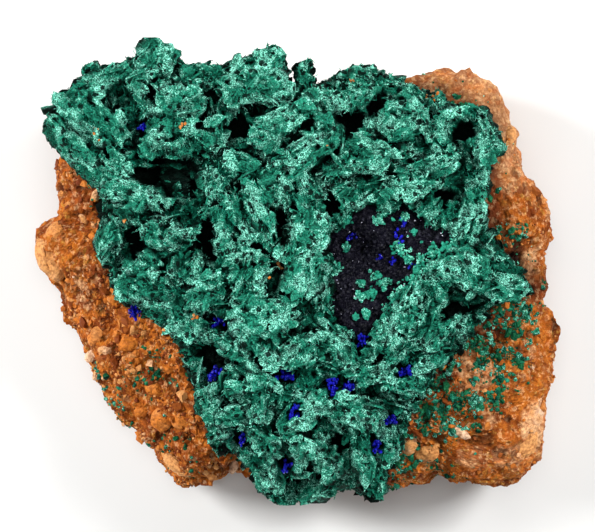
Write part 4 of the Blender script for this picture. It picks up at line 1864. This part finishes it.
@dataclass
class MalachiteSpecks:
    """Green crystals strewn over the bare rock: two fields in front on the right, and strays."""

    each: int = 640
    fringe_grains: int = 700
    stray_grains: int = 90
    # Where strays lie: x, y, two half widths, heading.
    stray_ovals: tuple = (
        (38, 7.5, 2.5, 2, 0), (-33, -22, 3, 6, 35), (-21, -31, 4, 5, 40), (26, -33, 5, 4, 0),
        (20, -30, 5, 5, 0), (-25, -17, 4, 4, 30), (38, -5, 5, 4, 0),
    )

    def field_over(self, oval: Sequence, rock: Draft, count: int, seed: int) -> Draft:
        """Specks over an oval of the rock, thinning out towards its border.

        Args:
            oval: Its middle, half widths and heading.
            rock: The block's skin.
            count: How many specks.
            seed: Picks another set.

        Returns:
            The specks.
        """
        rng = np.random.default_rng(seed)
        x, y, z = rock.points.T
        away = oval_distance(x, y, oval)
        clumps = smooth(noise(rock.points, 1.9, seed), 0.0, 0.35)
        weight = (z > 6) * (1 - smooth(away, 0.5, 1.5)) * (0.04 + clumps) * (1 - 0.85 * rock.values["worn"])
        count = min(count, int((weight > 0).sum()))
        chosen = rng.choice(len(x), count, replace=False, p=weight / weight.sum())
        sizes = rng.gamma(2.0, 0.115, count).clip(0.09, 0.75)
        return self.dressed(grain_field(rock.points[chosen], sizes, seed, 0.35))

    def fringe(self, rock: Draft) -> Draft:
        """Loose green grains on the rock along the crust's foot, thinning away from it.

        Args:
            rock: The block's skin.

        Returns:
            The grains.
        """
        rng = np.random.default_rng(171)
        x, y, z = rock.points.T
        share = way_out(CRUST_OUTLINE, x, y)
        near = smooth(share, 0.95, 0.99) * (1 - smooth(share, 1.0, 1.12 + 0.16 * smooth(x, 5, 20)))
        near *= 0.08 + smooth(x, 4, 16) * (1 - smooth(y, -5, 0))
        weight = near * (z > 10) * (0.05 + smooth(noise(rock.points, 3.0, 172), -0.1, 0.3))
        weight *= 1 - 0.7 * rock.values["worn"]
        chosen = rng.choice(len(x), self.fringe_grains, replace=False, p=weight / weight.sum())
        sizes = rng.gamma(2.4, 0.11, len(chosen)).clip(0.10, 0.7)
        return self.dressed(grain_field(rock.points[chosen], sizes, 173, 0.35))

    @staticmethod
    def dressed(draft: Draft) -> Draft:
        """Gives specks the crust's own values: paler by tint, and open to the light.

        Args:
            draft: The specks.

        Returns:
            The same specks.
        """
        tint = draft.values["tint"]
        draft.values |= {"edge": 0.75 * tint**2, "hollow": 0.25 * (1 - tint)}
        return draft

    def build(self, rock: Draft) -> None:
        """Makes the two fields and the strays.

        Args:
            rock: The block's skin.
        """
        finish = Velvet(body=(0.012, 0.150, 0.050), teal=(0.040, 0.280, 0.120), sparkle=0.8, seams=0.4,
                        pits=0.0, bump=0.08).build("malachite_specks")
        for number, (node, *oval) in enumerate(PATCHES):
            specks = self.field_over(oval, rock, self.each, 51 + number)
            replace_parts(placed(specks, f"{node}_specks", finish), node)
        placed(self.fringe(rock), "malachite_fringe_grains", finish)
        strays = [self.field_over(oval, rock, self.stray_grains, 61 + number)
                  for number, oval in enumerate(self.stray_ovals)]
        placed(joined(strays), "malachite_stray_specks", finish)


# ---- Azurite ----


@dataclass
class AzuriteDruse:
    """The dark druse in its hollow: a skin of tiny crystals, sparks, blue prisms and green tufts."""

    grid: int = 126
    sink: float = 2.0
    sparks_count: int = 60
    tuft_grains: int = 46
    # x, y and size of each tuft.
    tufts: tuple = (
        (14.5, -0.2, 1.2), (16, -1.2, 1), (11.7, -3.4, 0.9), (13.4, -3.1, 1), (12.8, -6.5, 0.8),
        (18.4, 4.8, 1.3), (24.3, 4.3, 1.5), (26.7, 4.7, 0.9), (22.1, 2.6, 1.3), (20.1, 2.7, 0.8),
        (21.5, 1, 0.9), (7.4, 1.2, 1.1), (9.6, 9.6, 0.8), (20.7, 7.6, 0.7), (23.5, 1.3, 1),
        (18.9, -2.4, 1.4), (17.6, -4, 1.2), (15.6, 10.8, 1.5), (14.9, 9.4, 0.9), (9.3, 4.9, 0.7),
        (25.6, 2.1, 1.2), (21, -0.9, 1.1), (16.6, -5.9, 1), (28.1, 5.5, 0.8), (11.9, -1.4, 0.6),
        (10.9, -7.1, 0.6), (19.3, 9.9, 0.9),
    )

    def height_at(self, x: Array, y: Array) -> Array:
        """The druse's mean height at a place."""
        return crust_level(x, y) - self.sink

    def skin(self) -> Draft:
        """The druse's own skin: the crust's level, sunk, with two sizes of broken planes.

        Returns:
            The closed form.
        """
        reach, angle = disc_grid(self.grid)
        x, y = around(radius_at(DRUSE_OUTLINE, angle, DRUSE_CENTRE) * reach * 1.06, angle, DRUSE_CENTRE)
        flat = on_plan(x, y)
        height = self.height_at(x, y) + 0.45 * noise(flat, 3.0, 121) + 0.3 * chips(flat, 1.6, 122)
        top = np.stack([x, y, height - 0.9 * reach**8], -1)
        rim = top[rim_loop(self.grid)]
        middle = np.array([*DRUSE_CENTRE, 0.0])
        skirt = [middle + (rim - middle) * (share, share, 1) - (0, 0, drop)
                 for share, drop in ((1.0, 0.8), (0.97, 1.4), (0.5, 1.6))]
        draft = closed_sheet(self.grid, top, np.array(skirt))
        return grown(draft, 0.2 * chips(draft.points, 0.6, 123) + 0.08 * noise(draft.points, 0.35, 124))

    def sparks(self) -> Draft:
        """Bright single crystals on the skin: small grains, seeded within the outline.

        Returns:
            The grains.
        """
        rng, count = np.random.default_rng(131), self.sparks_count
        angle = rng.uniform(-math.pi, math.pi, count)
        radius = radius_at(DRUSE_OUTLINE, angle, DRUSE_CENTRE) * np.sqrt(rng.uniform(0, 0.95, count))
        x, y = around(radius, angle, DRUSE_CENTRE)
        centres = np.stack([x, y, self.height_at(x, y) + rng.uniform(0.1, 0.4, count)], -1)
        return grain_field(centres, rng.uniform(0.06, 0.2, count) ** 1.2, 132)

    def prisms(self) -> Draft:
        """Blue prisms in small sprays, from the table of crystals.

        Returns:
            The prisms.
        """
        drafts = []
        for number, (x, y, length, width, heading) in enumerate(DRUSE_CRYSTALS):
            foot = np.array([x, y, float(self.height_at(np.array(x), np.array(y))) - 0.4])
            drafts.append(spray(foot, length, width, heading, 1.5, 9, 140 + number))
        return joined(drafts)

    def green_tufts(self) -> Draft:
        """Rounded tufts of malachite: heaps of grains.

        Returns:
            The grains, with their hollow and edge values.
        """
        rng = np.random.default_rng(151)
        spots = np.array(self.tufts)
        stray = rng.normal(0, 0.42, (len(spots), self.tuft_grains, 3)) * spots[:, None, 2:3]
        stray[..., 2] = np.abs(stray[..., 2]) * 0.7
        base = np.stack([spots[:, 0], spots[:, 1], self.height_at(spots[:, 0], spots[:, 1]) + 0.1], -1)
        centres = (base[:, None] + stray).reshape(-1, 3)
        draft = grain_field(centres, rng.uniform(0.16, 0.42, len(centres)), 152, 0.35)
        draft.values["edge"] = 0.25 + 0.7 * draft.values["tint"]
        draft.values["hollow"] = 0 * draft.values["tint"]
        return draft

    def build(self) -> None:
        """Makes the druse's pieces."""
        skin = placed(self.skin(), "azurite_druse_skin", DruseSkin().build("druse_skin"))
        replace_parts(skin, "azurite_druse")
        bright = Gloss(light=(0.62, 0.62, 0.72), heavy=(0.30, 0.30, 0.42)).build("druse_sparks")
        placed(self.sparks(), "azurite_druse_sparks", bright)
        placed(self.prisms(), "azurite_druse_prisms", Gloss().build("azurite_on_druse"))
        green = Velvet(body=(0.020, 0.290, 0.190), teal=(0.060, 0.430, 0.310), sparkle=0.7, seams=0.2,
                       pits=0.0, bump=0.06).build("malachite_tufts")
        placed(self.green_tufts(), "malachite_druse_tufts", green)


@dataclass
class AzuriteClusters:
    """The small blue clusters in the pockets of the crust."""

    sink: float = 1.8
    tall: float = 2.5

    def build(self) -> None:
        """Makes one piece for each cluster: a spray that stands on its pocket's floor."""
        finish = Gloss().build("azurite")
        for number, (x, y, length, width, heading, lift) in enumerate(CLUSTERS, 1):
            level = float(crust_level(np.array(x), np.array(y)))
            foot = np.array([x, y, level - self.sink + lift])
            draft = spray(foot, length, width, heading, self.tall, int(9 + 5 * length), 160 + number)
            piece = placed(draft, f"azurite_cluster_{number:02d}", finish)
            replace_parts(piece, f"azurite_{number:02d}")


# ---- The studio ----


@dataclass
class Studio:
    """A pale floor, soft panels of light, and a camera that looks straight down, in metres."""

    floor_half: float = 1.2
    lens: float = 200.0
    sensor: float = 36.0
    distance: float = 0.574
    reference: float = 0.025
    aim: tuple = (0.00008, 0.00122)
    fill: float = 0.05
    # Place, side and power of each panel.
    panels: tuple = (
        ((-0.42, 0.14, 0.34), 0.20, 4.4), ((0.40, 0.18, 0.36), 0.20, 3.9),
        ((0.02, -0.40, 0.42), 0.25, 0.7), ((0.0, 0.10, 0.80), 0.30, 1.4),
    )

    @staticmethod
    def linked(name: str, data: bpy.types.ID) -> bpy.types.Object:
        """Puts an object into the scene.

        Args:
            name: The object's name.
            data: Its mesh, lamp or camera.

        Returns:
            The object.
        """
        holder = bpy.data.objects.new(name, data)
        bpy.context.scene.collection.objects.link(holder)
        return holder

    def floor(self) -> None:
        """Lays a square board that the specimen rests on."""
        half = self.floor_half
        mesh = bpy.data.meshes.new("studio_floor")
        corners = [(-half, -half, 0.0), (half, -half, 0.0), (half, half, 0.0), (-half, half, 0.0)]
        mesh.from_pydata(corners, [], [(0, 1, 2, 3)])
        mesh.materials.append(Plain().build("pale_board"))
        self.linked("studio_floor", mesh)

    def lights(self) -> None:
        """Hangs square soft panels that all face the specimen, and a low even fill."""
        for number, (place, size, power) in enumerate(self.panels):
            lamp = bpy.data.lights.new(f"panel_{number}", "AREA")
            lamp.shape, lamp.size, lamp.energy = "SQUARE", size, power
            holder = self.linked(f"panel_{number}", lamp)
            holder.location = place
            holder.rotation_euler = Vector(place).to_track_quat("Z", "Y").to_euler()
        world = bpy.data.worlds.new("studio_fill")
        world.use_nodes = True
        background = world.node_tree.nodes["Background"]
        background.inputs["Color"].default_value = (1.0, 1.0, 1.0, 1.0)
        background.inputs["Strength"].default_value = self.fill
        bpy.context.scene.world = world

    def camera(self) -> None:
        """Sets a long lens straight above the specimen, with its top edge towards +Y."""
        eye = bpy.data.cameras.new("specimen_camera")
        eye.lens, eye.sensor_width = self.lens, self.sensor
        holder = self.linked("specimen_camera", eye)
        holder.location = (*self.aim, self.reference + self.distance)
        bpy.context.scene.camera = holder

    def build(self) -> None:
        """Sets the studio up."""
        self.floor()
        self.lights()
        self.camera()
        bpy.context.scene.view_settings.view_transform = "Standard"


def main() -> None:
    """Builds the specimen from its block upwards, then the studio."""
    logging.basicConfig(level=logging.INFO, format="%(name)s: %(message)s")
    rock = GossanBlock().build()
    crust = MalachiteCrust().build()
    GossanFlecks().build(crust)
    MalachiteSpecks().build(rock)
    AzuriteDruse().build()
    AzuriteClusters().build()
    Studio().build()


if __name__ == "__main__":
    main()
